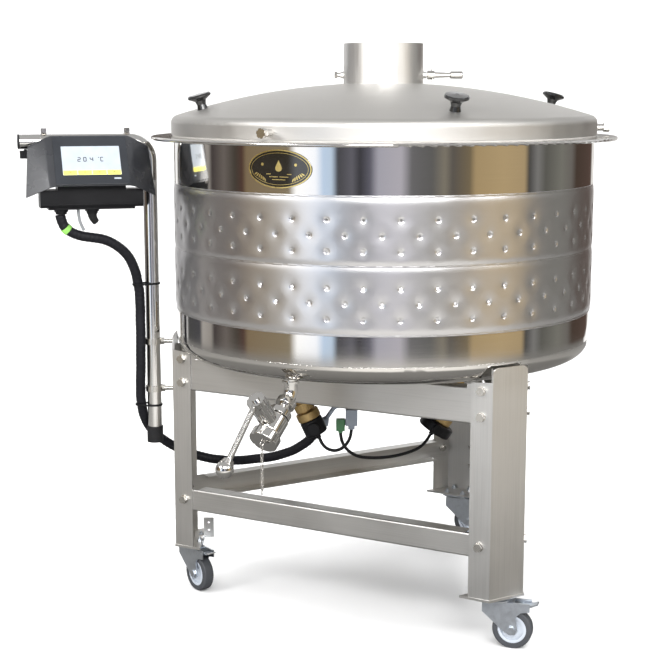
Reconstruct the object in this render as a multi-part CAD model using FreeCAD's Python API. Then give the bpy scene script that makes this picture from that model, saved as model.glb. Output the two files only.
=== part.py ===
import FreeCAD, Part
import math
import os

# Large electric brewing kettle on a three-legged wheeled stand.
# Millimetres, +Z up, the floor at z = 0, the kettle's axis on the Z axis and its drain at the front (-Y).
# Angles round the kettle run from the front (-Y) towards the right (+X).

V = FreeCAD.Vector
UP = V(0, 0, 1)
os.makedirs("parts", exist_ok=True)

ROW_ORIGIN = V(-172.535, -39.955, 0)   # the written parts' origin: the floor under the middle of their overall box

# ---- driving dimensions -------------------------------------------------------------------------
KETTLE_R = 560.0          # outside of the cooling jacket
WALL = 3.0                # kettle sheet
JACKET_SHEET = 2.4        # dimpled outer sheet, standing off the wall by JACKET_GAP
JACKET_GAP = 0.6
STAND_Z = 137.0           # underside of the legs above the floor
JACKET_SEAMS = (665.5, 829.0, 992.0)   # bottom, middle and top weld of the jacket, above the legs' underside
BOTTOM_WELD_Z = 589.0     # where the wall meets the dished bottom
KNUCKLE_R = 48.0
CROWN_R = 12000.0
RIM_Z = 1108.0            # underside of the rim ring
RIM_T = 9.0
RIM_EDGE_R = 617.0        # outer edge of the rim's flange
WALL_TOP_Z = 1146.0
SKIRT_Z = 1121.0          # lower edge of the lid's skirt
LID_R = 563.5
LID_SHEET = 2.5
DOME_R = 1830.0
DOME_TOP_Z = 1255.3
SHOULDER_R = 20.0
FLUE_R = 105.0
FLUE_TOP_Z = 1357.0
FLUE_SHEET = 2.5
DAMPER_Z = 1275.0
WHEEL_R = 50.0
WHEEL_W = 30.0
HUB_R = 36.0
SWIVEL_R = 531.0          # distance of the casters' swivel axes from the kettle's axis
TRAIL = 42.0
LEG_ANGLES = {"right_front": 30.0, "right_rear": 150.0, "left": -90.0}
TRAIL_ANGLES = {"right_front": 72.0, "right_rear": 65.0, "left": 37.0}
LEG_WEB_R = 569.0         # outer face of a leg's web
LEG_WEB_W = 105.6
LEG_FLANGE_W = 57.0
LEG_SHEET = 4.0
RAIL_SHEET = 3.0
RAIL_DEPTH = 40.0
BOLT_ROWS = (522.0, 458.0, 132.0)
POST_X = -625.0
POST_R = 19.0
POST_FOOT_Z = 279.0
ARM_Z = 1103.0
ARM_YAW = 15.1
ARM_BEND_R = 52.0
BOX_MID = 165.0           # distance along the arm from the post to the middle of the control box
ARM_END = 340.0
LOOM_D = 27.0
CABLE_D = 9.0


# ---- helpers ------------------------------------------------------------------------------------
def level(z):
    """A height above the legs' underside, as a height above the floor."""
    return STAND_Z + z


def radial(angle):
    a = math.radians(angle)
    return V(math.sin(a), -math.cos(a), 0)


def tangent(angle):
    a = math.radians(angle)
    return V(math.cos(a), math.sin(a), 0)


def unit(v):
    return V(v).normalize()


def cyl(r, h, base=V(0, 0, 0), axis=UP):
    return Part.makeCylinder(r, h, base, unit(axis))


def cone(r1, r2, h, base=V(0, 0, 0), axis=UP):
    return Part.makeCone(r1, r2, h, base, unit(axis))


def tube(ro, ri, h, base=V(0, 0, 0), axis=UP):
    return cyl(ro, h, base, axis).cut(cyl(ri, h + 2.0, base - unit(axis), axis))


def hexagon(across, h, base=V(0, 0, 0), axis=UP):
    return prism_round(6, across / math.sqrt(3), h, base, axis)


def prism_round(sides, r, h, base=V(0, 0, 0), axis=UP):
    points = [V(r * math.cos(2 * math.pi * k / sides), r * math.sin(2 * math.pi * k / sides), 0)
              for k in range(sides)]
    solid = Part.Face(Part.makePolygon(points + [points[0]])).extrude(V(0, 0, h))
    return stand_on(solid, base, axis)


def stand_on(solid, base, axis, x_axis=None):
    """Moves a solid made at the origin along +Z onto base, along axis."""
    z = unit(axis)
    x = x_axis if x_axis is not None else (V(1, 0, 0) if abs(z.x) < 0.9 else V(0, 1, 0))
    x = unit(x - z * x.dot(z))
    y = z.cross(x)
    m = FreeCAD.Matrix(x.x, y.x, z.x, base.x, x.y, y.y, z.y, base.y, x.z, y.z, z.z, base.z, 0, 0, 0, 1)
    return moved(solid, FreeCAD.Placement(m))


def moved(solid, placement):
    copy = solid.copy()
    copy.Placement = placement.multiply(copy.Placement)
    return copy


def slab(x0, x1, y0, y1, z0, z1):
    return Part.makeBox(x1 - x0, y1 - y0, z1 - z0, V(x0, y0, z0))


def prism(points, direction):
    """A flat outline, given as points, pulled along direction."""
    return Part.Face(Part.makePolygon(list(points) + [points[0]])).extrude(direction)


def poly_solid(points, faces):
    shell = []
    for face in faces:
        ring = [points[i] for i in face]
        shell.append(Part.Face(Part.makePolygon(ring + [ring[0]])))
    solid = Part.Solid(Part.Shell(shell))
    if solid.Volume < 0:
        solid.reverse()
    return solid


def revolve(edges):
    wire = Part.Wire(Part.__sortEdges__(edges))
    return Part.Face(wire).revolve(V(0, 0, 0), UP, 360)


def line(a, b):
    return Part.LineSegment(a, b).toShape()


def arc(a, mid, b):
    return Part.Arc(a, mid, b).toShape()


def on_arc(centre, r, degrees):
    """A point of the XZ plane on a circle."""
    a = math.radians(degrees)
    return V(centre.x + r * math.cos(a), 0, centre.z + r * math.sin(a))


def joined(pieces):
    solid = pieces[0]
    for piece in pieces[1:]:
        solid = solid.fuse(piece)
    return solid.removeSplitter()


def cut(solid, tools):
    for tool in tools:
        solid = solid.cut(tool)
    return solid


def rounded(solid, radius, keep):
    """Rounds the edges that keep(edge) chooses."""
    edges = [e for e in solid.Edges if keep(e)]
    return solid.makeFillet(radius, edges)


def sweep_path(points, d):
    """Straight runs joined by tangent arcs; each arc's radius is 0.45 of its shorter run / tan(turn / 2)."""
    points = [V(*p) for p in points]
    edges = []
    radii = []
    start = points[0]
    for k in range(1, len(points) - 1):
        before = points[k] - points[k - 1]
        after = points[k + 1] - points[k]
        turn = before.getAngle(after)
        setback = 0.45 * min(before.Length, after.Length)
        radius = setback / math.tan(turn / 2)
        a = points[k] - unit(before) * setback
        b = points[k] + unit(after) * setback
        inward = unit(unit(after) - unit(before))
        centre = points[k] + inward * (radius / math.cos(turn / 2))
        mid = centre - inward * radius
        edges.append(line(start, a))
        edges.append(arc(a, mid, b))
        radii.append(round(radius / d, 1))
        start = b
    edges.append(line(start, points[-1]))
    return Part.Wire(edges), radii


def cord(name, points, d):
    wire, radii = sweep_path(points, d)
    direction = V(*points[1]) - V(*points[0])
    profile = Part.Wire(Part.makeCircle(d / 2, V(*points[0]), direction))
    solid = wire.makePipeShell([profile], True, False)
    expected = math.pi * d * d / 4 * wire.Length
    print(name, "length", round(wire.Length, 1), "volume ratio", round(solid.Volume / expected, 4),
          "radii in diameters", radii)
    return solid


def bent_pipe(points, ro, ri, radius):
    """A pipe through three points with one bend of a given radius."""
    p0, p1, p2 = points
    before = unit(p1 - p0)
    after = unit(p2 - p1)
    turn = before.getAngle(after)
    setback = radius * math.tan(turn / 2)
    a = p1 - before * setback
    b = p1 + after * setback
    inward = unit(after - before)
    mid = p1 + inward * (radius / math.cos(turn / 2) - radius)
    wire = Part.Wire([line(p0, a), arc(a, mid, b), line(b, p2)])
    outer = wire.makePipeShell([Part.Wire(Part.makeCircle(ro, p0, before))], True, False)
    if ri <= 0:
        return outer
    inner = wire.makePipeShell([Part.Wire(Part.makeCircle(ri, p0, before))], True, False)
    return outer.cut(inner)


OVERALL = FreeCAD.BoundBox()
CORDS = ("loom", "signal_lead", "pump_cable_left", "pump_cable_right")


def write(name, solids):
    """Writes one node; a list stays a group of separate solids."""
    pieces = []
    for solid in (solids if isinstance(solids, list) else [solids]):
        pieces += solid.Solids
    pieces = [moved(piece, FreeCAD.Placement(ROW_ORIGIN * -1, FreeCAD.Rotation())) for piece in pieces]
    shape = pieces[0] if len(pieces) == 1 else Part.makeCompound(pieces)
    if name not in CORDS:
        OVERALL.add(shape.optimalBoundingBox(False))
    for piece in pieces:
        if not piece.isValid() or piece.Volume < 1.0:
            print("CHECK", name, "valid", piece.isValid(), "volume", round(piece.Volume, 2))
    shape.exportStep("parts/" + name + ".step")


# ---- kettle -------------------------------------------------------------------------------------
WALL_R = KETTLE_R - JACKET_SHEET - JACKET_GAP     # outside of the kettle's own wall
KNUCKLE_C = V(WALL_R - KNUCKLE_R, 0, level(BOTTOM_WELD_Z))
CROWN_C_Z = KNUCKLE_C.z + math.sqrt((CROWN_R - KNUCKLE_R) ** 2 - KNUCKLE_C.x ** 2)
BOTTOM_Z = CROWN_C_Z - CROWN_R                    # underside of the kettle on its axis
DRAIN_XY = V(-246, -424, 0)
PUMP_PORTS = {"left": V(-231, -90, 0), "right": V(228, 150, 0)}
PORT_R = 17.0


def bottom_z(x, y):
    return CROWN_C_Z - math.sqrt(CROWN_R ** 2 - x * x - y * y)


def kettle_profile(inset):
    """The wall and dished bottom as one line, inset from the outside face, from the axis to the rim."""
    crown = CROWN_R - inset
    knuckle = KNUCKLE_R - inset
    lean = math.degrees(math.asin(KNUCKLE_C.x / (CROWN_R - KNUCKLE_R)))
    crown_c = V(0, 0, CROWN_C_Z)
    low = V(0, 0, CROWN_C_Z - crown)
    meet = on_arc(crown_c, crown, -90 + lean)
    wall = V(WALL_R - inset, 0, KNUCKLE_C.z)
    return [arc(low, on_arc(crown_c, crown, -90 + lean / 2), meet),
            arc(meet, on_arc(KNUCKLE_C, knuckle, -45 + lean / 2), wall),
            line(wall, V(WALL_R - inset, 0, level(WALL_TOP_Z)))]


def kettle_shell():
    outer = kettle_profile(0)
    inner = kettle_profile(WALL)
    rim_out = V(WALL_R, 0, level(WALL_TOP_Z))
    rim_in = V(WALL_R - WALL, 0, level(WALL_TOP_Z))
    low_out = V(0, 0, BOTTOM_Z)
    low_in = V(0, 0, BOTTOM_Z + WALL)
    shell = revolve(outer + inner + [line(rim_out, rim_in), line(low_out, low_in)])
    holes = [cyl(PORT_R - 1.5, 60, V(p.x, p.y, BOTTOM_Z - 20)) for p in PUMP_PORTS.values()]
    holes.append(cyl(PORT_R - 1.5, 80, V(DRAIN_XY.x, DRAIN_XY.y, BOTTOM_Z - 20)))
    return cut(shell, holes)


def jacket_band(z0, z1):
    return tube(KETTLE_R, WALL_R + JACKET_GAP, level(z1) - level(z0), V(0, 0, level(z0)))


def cooling_jacket():
    low, middle, top = JACKET_SEAMS
    seam = 1.0
    bands = [jacket_band(low, middle - seam), jacket_band(middle + seam, top)]
    weld = tube(KETTLE_R - 0.8, WALL_R, 2 * seam, V(0, 0, level(middle) - seam))
    rings = [tube(KETTLE_R, WALL_R, 3.0, V(0, 0, level(low) - 3.0)),
             tube(KETTLE_R, WALL_R, 3.0, V(0, 0, level(top)))]
    return joined(bands + [weld] + rings)


def rim_ring():
    """The rim ring and its wide flat flange, with a rolled edge, on which the lid sits."""
    z = level(RIM_Z)
    ring = tube(LID_R + 4.0, WALL_R, RIM_T, V(0, 0, z))
    flange = tube(RIM_EDGE_R - RIM_T / 2, WALL_R + 2.0, 4.0, V(0, 0, z + RIM_T - 4.0))
    bead = Part.makeTorus(RIM_EDGE_R - RIM_T / 2, RIM_T / 2, V(0, 0, z + RIM_T / 2))
    return joined([ring, flange, bead])


BADGE_ANGLE = -29.0
BADGE_Z = 1053.5
BADGE_W = 171.0
BADGE_H = 91.0


def maker_badge():
    """An oval plate curved to the wall, standing on it."""
    ellipse = Part.Ellipse(V(0, 0, 0), BADGE_W / 2, BADGE_H / 2).toShape()
    blank = Part.Face(Part.Wire(ellipse)).extrude(V(0, 0, 120))
    angle = radial(BADGE_ANGLE)
    blank = stand_on(blank, angle * (WALL_R - 90) + UP * level(BADGE_Z), angle, tangent(BADGE_ANGLE))
    plate = tube(WALL_R + 2.2, WALL_R, 140, V(0, 0, level(BADGE_Z) - 70))
    return blank.common(plate)


# ---- inside the kettle --------------------------------------------------------------------------
MALT_R = 395.0
MALT_Z0 = 606.0
MALT_Z1 = 1048.0
ROD_R = 10.0


MALT_PANELS = 16


def malt_pipe():
    """The pipe's wall with its ledge and rim, as sixteen equal panels that meet edge to edge."""
    body = tube(MALT_R, MALT_R - 2.5, MALT_Z1 - MALT_Z0, V(0, 0, level(MALT_Z0)))
    ledge = tube(MALT_R - 2.0, MALT_R - 16.0, 3.0, V(0, 0, level(MALT_Z0) + 8))
    rim = tube(MALT_R + 9.0, MALT_R - 2.5, 4.0, V(0, 0, level(MALT_Z1) - 4))
    wall = joined([body, ledge, rim])
    wedge = Part.makeCylinder(MALT_R + 60.0, 600.0, V(0, 0, level(MALT_Z0) - 50.0), UP, 360.0 / MALT_PANELS)
    panel = wall.common(wedge)
    panels = []
    for k in range(MALT_PANELS):
        piece = panel.copy()
        piece.rotate(V(0, 0, 0), UP, 360.0 * k / MALT_PANELS)
        panels.append(piece)
    return panels


def malt_sieves():
    sieves = []
    for z in (MALT_Z0 + 11.0, MALT_Z1 - 80.0):
        plate = cyl(MALT_R - 4.0, 3.0, V(0, 0, level(z)))
        holes = [cyl(ROD_R + 1.0, 10, V(0, 0, level(z) - 3))]
        for ring in range(1, 5):
            for k in range(6 * ring):
                spot = radial(360.0 * k / (6 * ring)) * (84.0 * ring)
                holes.append(cyl(14.0, 10, spot + UP * (level(z) - 3)))
        plate = plate.cut(Part.makeCompound(holes))
        sieves.append(plate)
    return sieves


def malt_stand():
    """Three feet that carry the malt pipe over the heating coils."""
    feet = []
    for angle in (0.0, 120.0, 240.0):
        spot = radial(angle) * (MALT_R - 1.2)
        z0 = bottom_z(spot.x, spot.y) + WALL + 0.4
        feet.append(cyl(7.0, level(MALT_Z0) - z0, spot + UP * z0))
    return feet


def heating_coils():
    """Two round heating elements on legs, one outside and one inside the malt pipe's feet."""
    coils = []
    for r, gap_angle in ((455.0, 20.0), (300.0, -30.0)):
        ring = Part.makeTorus(r, 8.0, V(0, 0, level(572.0)), UP, 0, 360, 336)
        ring.rotate(V(0, 0, 0), UP, gap_angle)
        legs = []
        for end in (0.0, 336.0):
            a = math.radians(end + gap_angle)
            spot = V(r * math.cos(a), r * math.sin(a), 0)
            z0 = bottom_z(spot.x, spot.y) + WALL
            legs.append(cyl(8.0, level(572.0) - z0, spot + UP * z0))
        coils.append(cut(joined([ring] + legs), [kettle_shell()]))
    return coils


def hold_down_bar():
    """The centre rod, welded to the bottom, and the bar that holds the malt pipe down."""
    z0 = BOTTOM_Z + WALL
    top = level(MALT_Z1) + 62.0
    rod = cyl(ROD_R, top - z0, V(0, 0, z0))
    foot = cone(26.0, ROD_R, 24.0, V(0, 0, z0 + 0.05))
    bar_z = level(MALT_Z1) + 0.4
    bar = slab(-MALT_R - 8, MALT_R + 8, -15, 15, bar_z, bar_z + 12)
    bar = bar.cut(cyl(ROD_R + 1.0, 40, V(0, 0, bar_z - 10)))
    shell = kettle_shell()
    return [cut(rod, [shell]), cut(foot, [rod, shell]), bar]


def wing_nut():
    z = level(MALT_Z1) + 13.0
    hub = cone(24.0, 17.0, 24.0, V(0, 0, z))
    wings = []
    for side in (-1, 1):
        outline = [V(side * 12, 0, z + 4), V(side * 58, 0, z + 26), V(side * 58, 0, z + 40), V(side * 12, 0, z + 24)]
        wings.append(prism([p + V(0, -4, 0) for p in outline], V(0, 8, 0)))
    return joined([hub] + wings).cut(cyl(ROD_R + 0.05, 80, V(0, 0, z - 10)))


def temperature_probe():
    angle = 24.0
    z = level(630.0)
    out = radial(angle)
    stem = cyl(4.0, 55, out * (WALL_R - 66) + UP * z, out)
    return joined([stem, cyl(9.0, 12.0, out * (WALL_R - 15.0) + UP * z, out)])


# ---- lid ----------------------------------------------------------------------------------------
DOME_C = V(0, 0, level(DOME_TOP_Z) - DOME_R)


def dome_z(r):
    return DOME_C.z + math.sqrt(DOME_R ** 2 - r * r)


def lid():
    """A shallow dome with a rounded shoulder and an upright skirt, as one revolved sheet."""
    def side(inset):
        big = DOME_R - inset
        small = SHOULDER_R - inset
        cx = LID_R - SHOULDER_R
        cz = DOME_C.z + math.sqrt((DOME_R - SHOULDER_R) ** 2 - cx ** 2)
        lean = math.degrees(math.atan2(cz - DOME_C.z, cx))
        hole = V(FLUE_R - FLUE_SHEET, 0, DOME_C.z + math.sqrt(big ** 2 - (FLUE_R - FLUE_SHEET) ** 2))
        start = math.degrees(math.atan2(hole.z - DOME_C.z, hole.x))
        meet = on_arc(DOME_C, big, lean)
        shoulder_c = V(cx, 0, cz)
        edge = V(LID_R - inset, 0, cz)
        return hole, [arc(hole, on_arc(DOME_C, big, (start + lean) / 2), meet),
                      arc(meet, on_arc(shoulder_c, small, lean / 2), edge),
                      line(edge, V(LID_R - inset, 0, level(SKIRT_Z)))]
    hole_out, outer = side(0)
    hole_in, inner = side(LID_SHEET)
    lip = [line(V(LID_R, 0, level(SKIRT_Z)), V(LID_R - LID_SHEET, 0, level(SKIRT_Z))), line(hole_out, hole_in)]
    sheet = revolve(outer + inner + lip)
    bosses = []
    for angle in LID_SCREW_ANGLES:
        out = radial(angle)
        spot = out * (LID_R - 1.0) + UP * level(LID_SCREW_Z)
        bosses.append(cyl(9.0, 27.0, spot, out))
    screw_holes = [cyl(LID_SCREW_R + 0.05, 60.0, radial(a) * (LID_R - 20) + UP * level(LID_SCREW_Z), radial(a))
                   for a in LID_SCREW_ANGLES]
    stud_holes = []
    for angle in KNOB_ANGLES:
        foot, normal = knob_place(angle)
        stud_holes.append(cyl(4.0, 30, foot - normal * 15, normal))
    return cut(joined([sheet] + bosses), screw_holes + stud_holes)


LID_SCREW_ANGLES = (-31.0, 90.0, 208.0)
LID_SCREW_Z = 1137.0
LID_SCREW_R = 5.0
LID_SCREW_OUT = 9.0
KNOB_ANGLES = (-73.0, 17.0, 107.0, 197.0)
KNOB_R = 492.0


def lid_gasket():
    """A soft strip inside the skirt, resting on the rim ring."""
    return tube(LID_R - LID_SHEET - 0.2, WALL_R + 0.5, 3.6, V(0, 0, level(RIM_Z) + RIM_T + 0.3))


SPIGOT = 60.0             # how far a duct pushes on, down to the small step in the flue's wall


def flue():
    z0 = dome_z(FLUE_R)
    pipe = tube(FLUE_R, FLUE_R - FLUE_SHEET, level(FLUE_TOP_Z) - z0 + 8.0, V(0, 0, z0 - 8.0))
    stop = tube(FLUE_R + 1.0, FLUE_R - 1.0, level(FLUE_TOP_Z) - SPIGOT - z0 + 8.0, V(0, 0, z0 - 8.0))
    pipe = joined([pipe, stop])
    clear = revolve_dome_cut()
    pipe = pipe.cut(clear)
    bush_out = cyl(9.0, 10.0, V(FLUE_R - 1.0, 0, level(DAMPER_Z)), V(1, 0, 0))
    bush_in = cyl(9.0, 10.0, V(-FLUE_R + 1.0, 0, level(DAMPER_Z)), V(-1, 0, 0))
    bore = cyl(SHAFT_R + 0.05, 4 * FLUE_R, V(-2 * FLUE_R, 0, level(DAMPER_Z)), V(1, 0, 0))
    return joined([pipe, bush_out, bush_in]).cut(bore)


def revolve_dome_cut():
    """Everything under the lid's outer face, so that the flue stands on the dome."""
    return Part.makeSphere(DOME_R, DOME_C, UP, 80, 90, 360)


SHAFT_R = 6.0


def damper():
    """A round flap on a cross shaft, with a hub, a cross pin and a plain round grip on the right."""
    z = level(DAMPER_Z)
    flap = cyl(FLUE_R - FLUE_SHEET - 2.0, 2.0, V(0, 0, z - 1.0))
    shaft = cyl(SHAFT_R, 2 * FLUE_R + 44.0, V(-FLUE_R - 18.0, 0, z), V(1, 0, 0))
    head = hexagon(17.0, 7.0, V(-FLUE_R - 18.0, 0, z), V(-1, 0, 0))
    hub = cyl(12.0, 18.0, V(FLUE_R + 12.0, 0, z), V(1, 0, 0))
    pin = cyl(3.5, 36.0, V(FLUE_R + 26.0, -4, z - 18.0), V(0, 0.2, 1))
    neck = cone(8.0, 6.0, 42.0, V(FLUE_R + 30.0, 0, z), V(1, 0, 0))
    grip = cyl(10.0, 34.0, V(FLUE_R + 72.0, 0, z), V(1, 0, 0))
    grip = rounded(grip, 3.0, lambda e: e.Curve.TypeId == "Part::GeomCircle")
    return [joined([flap, shaft, head, hub, pin, neck, grip])]


def knob_place(angle):
    out = radial(angle)
    foot = out * KNOB_R + UP * dome_z(KNOB_R)
    normal = unit(foot - DOME_C)
    return foot, normal


def knob_solid():
    """A mushroom knob: a flared stem under a broad, slightly domed cap."""
    profile = [V(4.1, 0, 0), V(14.0, 0, 0), V(11.5, 0, 12.0), V(14.5, 0, 22.0), V(30.0, 0, 31.0),
               V(30.5, 0, 35.0), V(28.0, 0, 38.5), V(4.1, 0, 40.5)]
    edges = [line(profile[k], profile[k + 1]) for k in range(len(profile) - 1)]
    edges.append(line(profile[-1], profile[0]))
    shell = revolve(edges)
    core = cyl(4.0, 36.0, V(0, 0, -6.0))
    return shell.fuse(cyl(4.1, 37.0, V(0, 0, 3.0))).fuse(core).removeSplitter()


def lid_knobs():
    knobs = []
    for angle in KNOB_ANGLES:
        foot, normal = knob_place(angle)
        knobs.append(stand_on(knob_solid(), foot, normal))
    return knobs


def lid_screw(angle):
    """A clamping screw through the skirt's boss, with a star grip."""
    out = radial(angle)
    z = level(LID_SCREW_Z)
    tip = LID_R - 5.4
    screw = cyl(LID_SCREW_R, 45.0, out * tip + UP * z, out)
    grip = prism_round(12, 12.5, 15.0, out * (LID_R + 27.6) + UP * z, out)
    notches = []
    for k in range(6):
        a = math.radians(60 * k + 15)
        side = tangent(angle) * math.cos(a) + UP * math.sin(a)
        notches.append(cyl(3.2, 30.0, out * (LID_R + 20) + UP * z + side * 13.5, out))
    return joined([screw, cut(grip, notches)])


# ---- stand --------------------------------------------------------------------------------------
def leg_outline(angle, inset, flange):
    """Half of the folded channel's outline on each side of the web, seen from above."""
    out = radial(angle)
    side = tangent(angle)
    corner = LEG_WEB_W / 2 - inset * math.tan(math.radians(30))
    web = LEG_WEB_R - inset
    along = V(-math.cos(math.radians(30)), math.sin(math.radians(30)), 0)
    tip = (web + along.x * flange, corner + along.y * flange)
    points = [(web, corner), tip]
    return [out * r + side * t for r, t in points], [out * r - side * t for r, t in points]


def leg(name):
    angle = LEG_ANGLES[name]
    out = radial(angle)
    side = tangent(angle)
    height = 579.0
    right, left = leg_outline(angle, 0, LEG_FLANGE_W)
    right_in, left_in = leg_outline(angle, LEG_SHEET, LEG_FLANGE_W)
    ends = []
    for outer, inner in ((right, right_in), (left, left_in)):
        away = unit(outer[1] - outer[0])
        across = unit(inner[0] - outer[0])
        across = unit(across - away * across.dot(away))
        ends.append(outer[1] + across * LEG_SHEET)
    ring = [left[1], left[0], right[0], right[1], ends[0], right_in[0], left_in[0], ends[1]]
    sheet = prism([p + UP * STAND_Z for p in ring], UP * height)
    trim = []
    for sign, tip in ((1, right[1]), (-1, left[1])):
        cutter = prism([out * (LEG_WEB_R + 20) + side * (sign * (LEG_WEB_W / 2 - 6)) + UP * level(546.0),
                        out * (LEG_WEB_R - 120) + side * (sign * (LEG_WEB_W / 2 - 6)) + UP * level(536.0),
                        out * (LEG_WEB_R - 120) + side * (sign * (LEG_WEB_W / 2 - 6)) + UP * level(620.0),
                        out * (LEG_WEB_R + 20) + side * (sign * (LEG_WEB_W / 2 - 6)) + UP * level(620.0)],
                       side * (sign * 120.0))
        trim.append(cutter.cut(web_guard(angle)))
    sheet = cut(sheet, trim)
    sheet = sheet.cut(corner_trim(angle, height))
    plate_points = [out * (LEG_WEB_R + 2.0) - side * (LEG_WEB_W / 2 + 2.0),
                    out * (LEG_WEB_R + 2.0) + side * (LEG_WEB_W / 2 + 2.0),
                    out * (LEG_WEB_R - 70.0) + side * (LEG_WEB_W / 2 + 40.0),
                    out * (LEG_WEB_R - 70.0) - side * (LEG_WEB_W / 2 + 40.0)]
    plate = prism([p + UP * (STAND_Z - 6.0) for p in plate_points], UP * 6.0)
    pieces = [sheet, plate]
    if name == "left":
        pieces.append(levelling_tab(angle))
    body = joined(pieces)
    return cut(body, bolt_bores(name) + caster_bores(name, STAND_Z - 20.0))


def web_guard(angle):
    """The space of the web itself, which stays full height."""
    out = radial(angle)
    side = tangent(angle)
    a = out * (LEG_WEB_R - LEG_SHEET - 2.0)
    b = out * (LEG_WEB_R + 30.0)
    half = side * (LEG_WEB_W / 2 + 1.0)
    return prism([a - half + UP * 300, b - half + UP * 300, b + half + UP * 300, a + half + UP * 300], UP * 600)


def corner_trim(angle, height):
    """Rounds the two upper corners of the web."""
    out = radial(angle)
    side = tangent(angle)
    r = 16.0
    tools = []
    for sign in (-1, 1):
        edge = side * (sign * (LEG_WEB_W / 2 + 0.5))
        base = out * (LEG_WEB_R - 60.0) + edge + UP * (level(height) - r)
        block = prism([base, base - side * (sign * (r + 0.5)), base - side * (sign * (r + 0.5)) + UP * (r + 1),
                       base + UP * (r + 1)], out * 90.0)
        centre = out * (LEG_WEB_R - 61.0) + edge - side * (sign * (r + 0.5)) + UP * (level(height) - r)
        tools.append(block.cut(cyl(r, 95.0, centre, out)))
    return Part.makeCompound(tools)


def levelling_tab(angle):
    """A small two-hole plate welded inside the left leg near its foot."""
    x = -LEG_WEB_R + 73.0
    tab = slab(x, x + 28.0, 8.0, 11.0, level(0.0), level(56.0))
    holes = [cyl(3.0, 20.0, V(x + 14.0, 0.0, level(z)), V(0, 1, 0)) for z in (20.0, 42.0)]
    bridge = slab(x - 14.0, x + 6.0, 5.0, 14.0, level(-1.0), level(5.0))
    return cut(tab.fuse(bridge), holes)


def flange_frames():
    """For each leg and each of its two flanges: the flange's middle, outward normal and direction."""
    frames = []
    for name, angle in LEG_ANGLES.items():
        for sign in (-1, 1):
            out = radial(angle)
            side = tangent(angle) * sign
            corner = out * LEG_WEB_R + side * (LEG_WEB_W / 2)
            along = unit(out * -math.cos(math.radians(30)) + side * math.sin(math.radians(30)))
            normal = unit(out * math.sin(math.radians(30)) + side * math.cos(math.radians(30)))
            frames.append((name, corner + along * 30.0, normal, along))
    return frames


def bolt_bores(name):
    return [cyl(6.5, 40.0, middle + normal * 10 + UP * level(z), normal * -1)
            for leg_name, middle, normal, along in flange_frames() if leg_name == name for z in BOLT_ROWS]


def frame_bolts():
    """Hexagon bolts, washers and nuts through the flanges and the rails."""
    pieces = []
    for name, middle, normal, along in flange_frames():
        for z in BOLT_ROWS:
            face = middle + UP * level(z)
            washer = tube(12.0, 6.5, 2.5, face, normal)
            head = hexagon(19.0, 7.5, face + normal * 2.5, normal)
            shank = cyl(6.0, 26.0, face + normal * 3.0, normal * -1)
            pieces.append(joined([head, shank]))
            pieces.append(washer)
            inner = face - normal * (LEG_SHEET + RAIL_SHEET)
            pieces.append(hexagon(19.0, 10.0, inner, normal * -1).cut(cyl(6.0, 30, inner + normal * 5, normal * -1)))
    return pieces


RAIL_SIDES = {"right": ("right_front", "right_rear", 90.0), "front": ("left", "right_front", -30.0),
              "rear": ("right_rear", "left", 210.0)}
RAIL_FACE_R = (LEG_WEB_R * 0.5 + LEG_WEB_W / 2 * math.cos(math.radians(30))) - LEG_SHEET
RAIL_HALF = 455.0


def rail(angle, z0, z1, end_rise):
    """A folded C rail between two legs; its web runs on past the folds as a tab at each end."""
    out = radial(angle)
    side = tangent(angle)
    fold = RAIL_HALF - 62.0
    outer = out * RAIL_FACE_R
    web = prism([outer + side * s * RAIL_HALF + UP * level(z)
                 for s, z in ((-1, z0), (1, z0), (1, z1), (-1, z1))], out * -RAIL_SHEET)
    flanges = []
    for z in (z0, z1 - RAIL_SHEET):
        a = outer - side * fold + UP * level(z)
        flange = prism([a, a + side * 2 * fold, a + side * 2 * fold - out * RAIL_DEPTH, a - out * RAIL_DEPTH],
                       UP * RAIL_SHEET)
        flanges.append(flange)
    body = joined([web] + flanges)
    body = rounded(body, 5.0, lambda e: rail_fold_edge(e, outer, out, side, fold, (level(z0), level(z1))))
    tabs = []
    if end_rise > 0:
        for s in (-1, 1):
            a = outer + side * (s * RAIL_HALF) + UP * level(z1 - 6.0)
            b = outer + side * (s * (RAIL_HALF - 58.0)) + UP * level(z1 - 6.0)
            tabs.append(prism([a, b, b + UP * (6.0 + end_rise), a + UP * (6.0 + end_rise)], out * -RAIL_SHEET))
    body = joined([body] + tabs) if tabs else body
    bores = []
    for name, middle, normal, along in flange_frames():
        if normal.dot(out) > 0.99:
            for z in BOLT_ROWS:
                bores.append(cyl(6.5, 60.0, middle + normal * 20 + UP * level(z), normal * -1))
    return cut(body, bores)


def rail_fold_edge(edge, outer, out, side, fold, levels):
    """True for the two long outer edges where the web folds into the flanges."""
    if edge.Length < 1.5 * fold:
        return False
    p = edge.CenterOfMass
    return abs((p - outer).dot(out)) < 0.01 and min(abs(p.z - z) for z in levels) < 0.01


# ---- casters ------------------------------------------------------------------------------------
PLATE_HALF = 36.0
PLATE_BOLT = 26.0
PLATE_T = 3.0
PLATE_TOP = STAND_Z - 6.0


def caster_bores(name, z0):
    angle = LEG_ANGLES[name]
    centre = radial(angle) * SWIVEL_R
    bores = []
    for i in (-1, 1):
        for j in (-1, 1):
            spot = centre + radial(angle) * (PLATE_BOLT * i) + tangent(angle) * (PLATE_BOLT * j)
            bores.append(cyl(4.3, 40.0, spot + UP * z0))
    return bores


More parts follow.
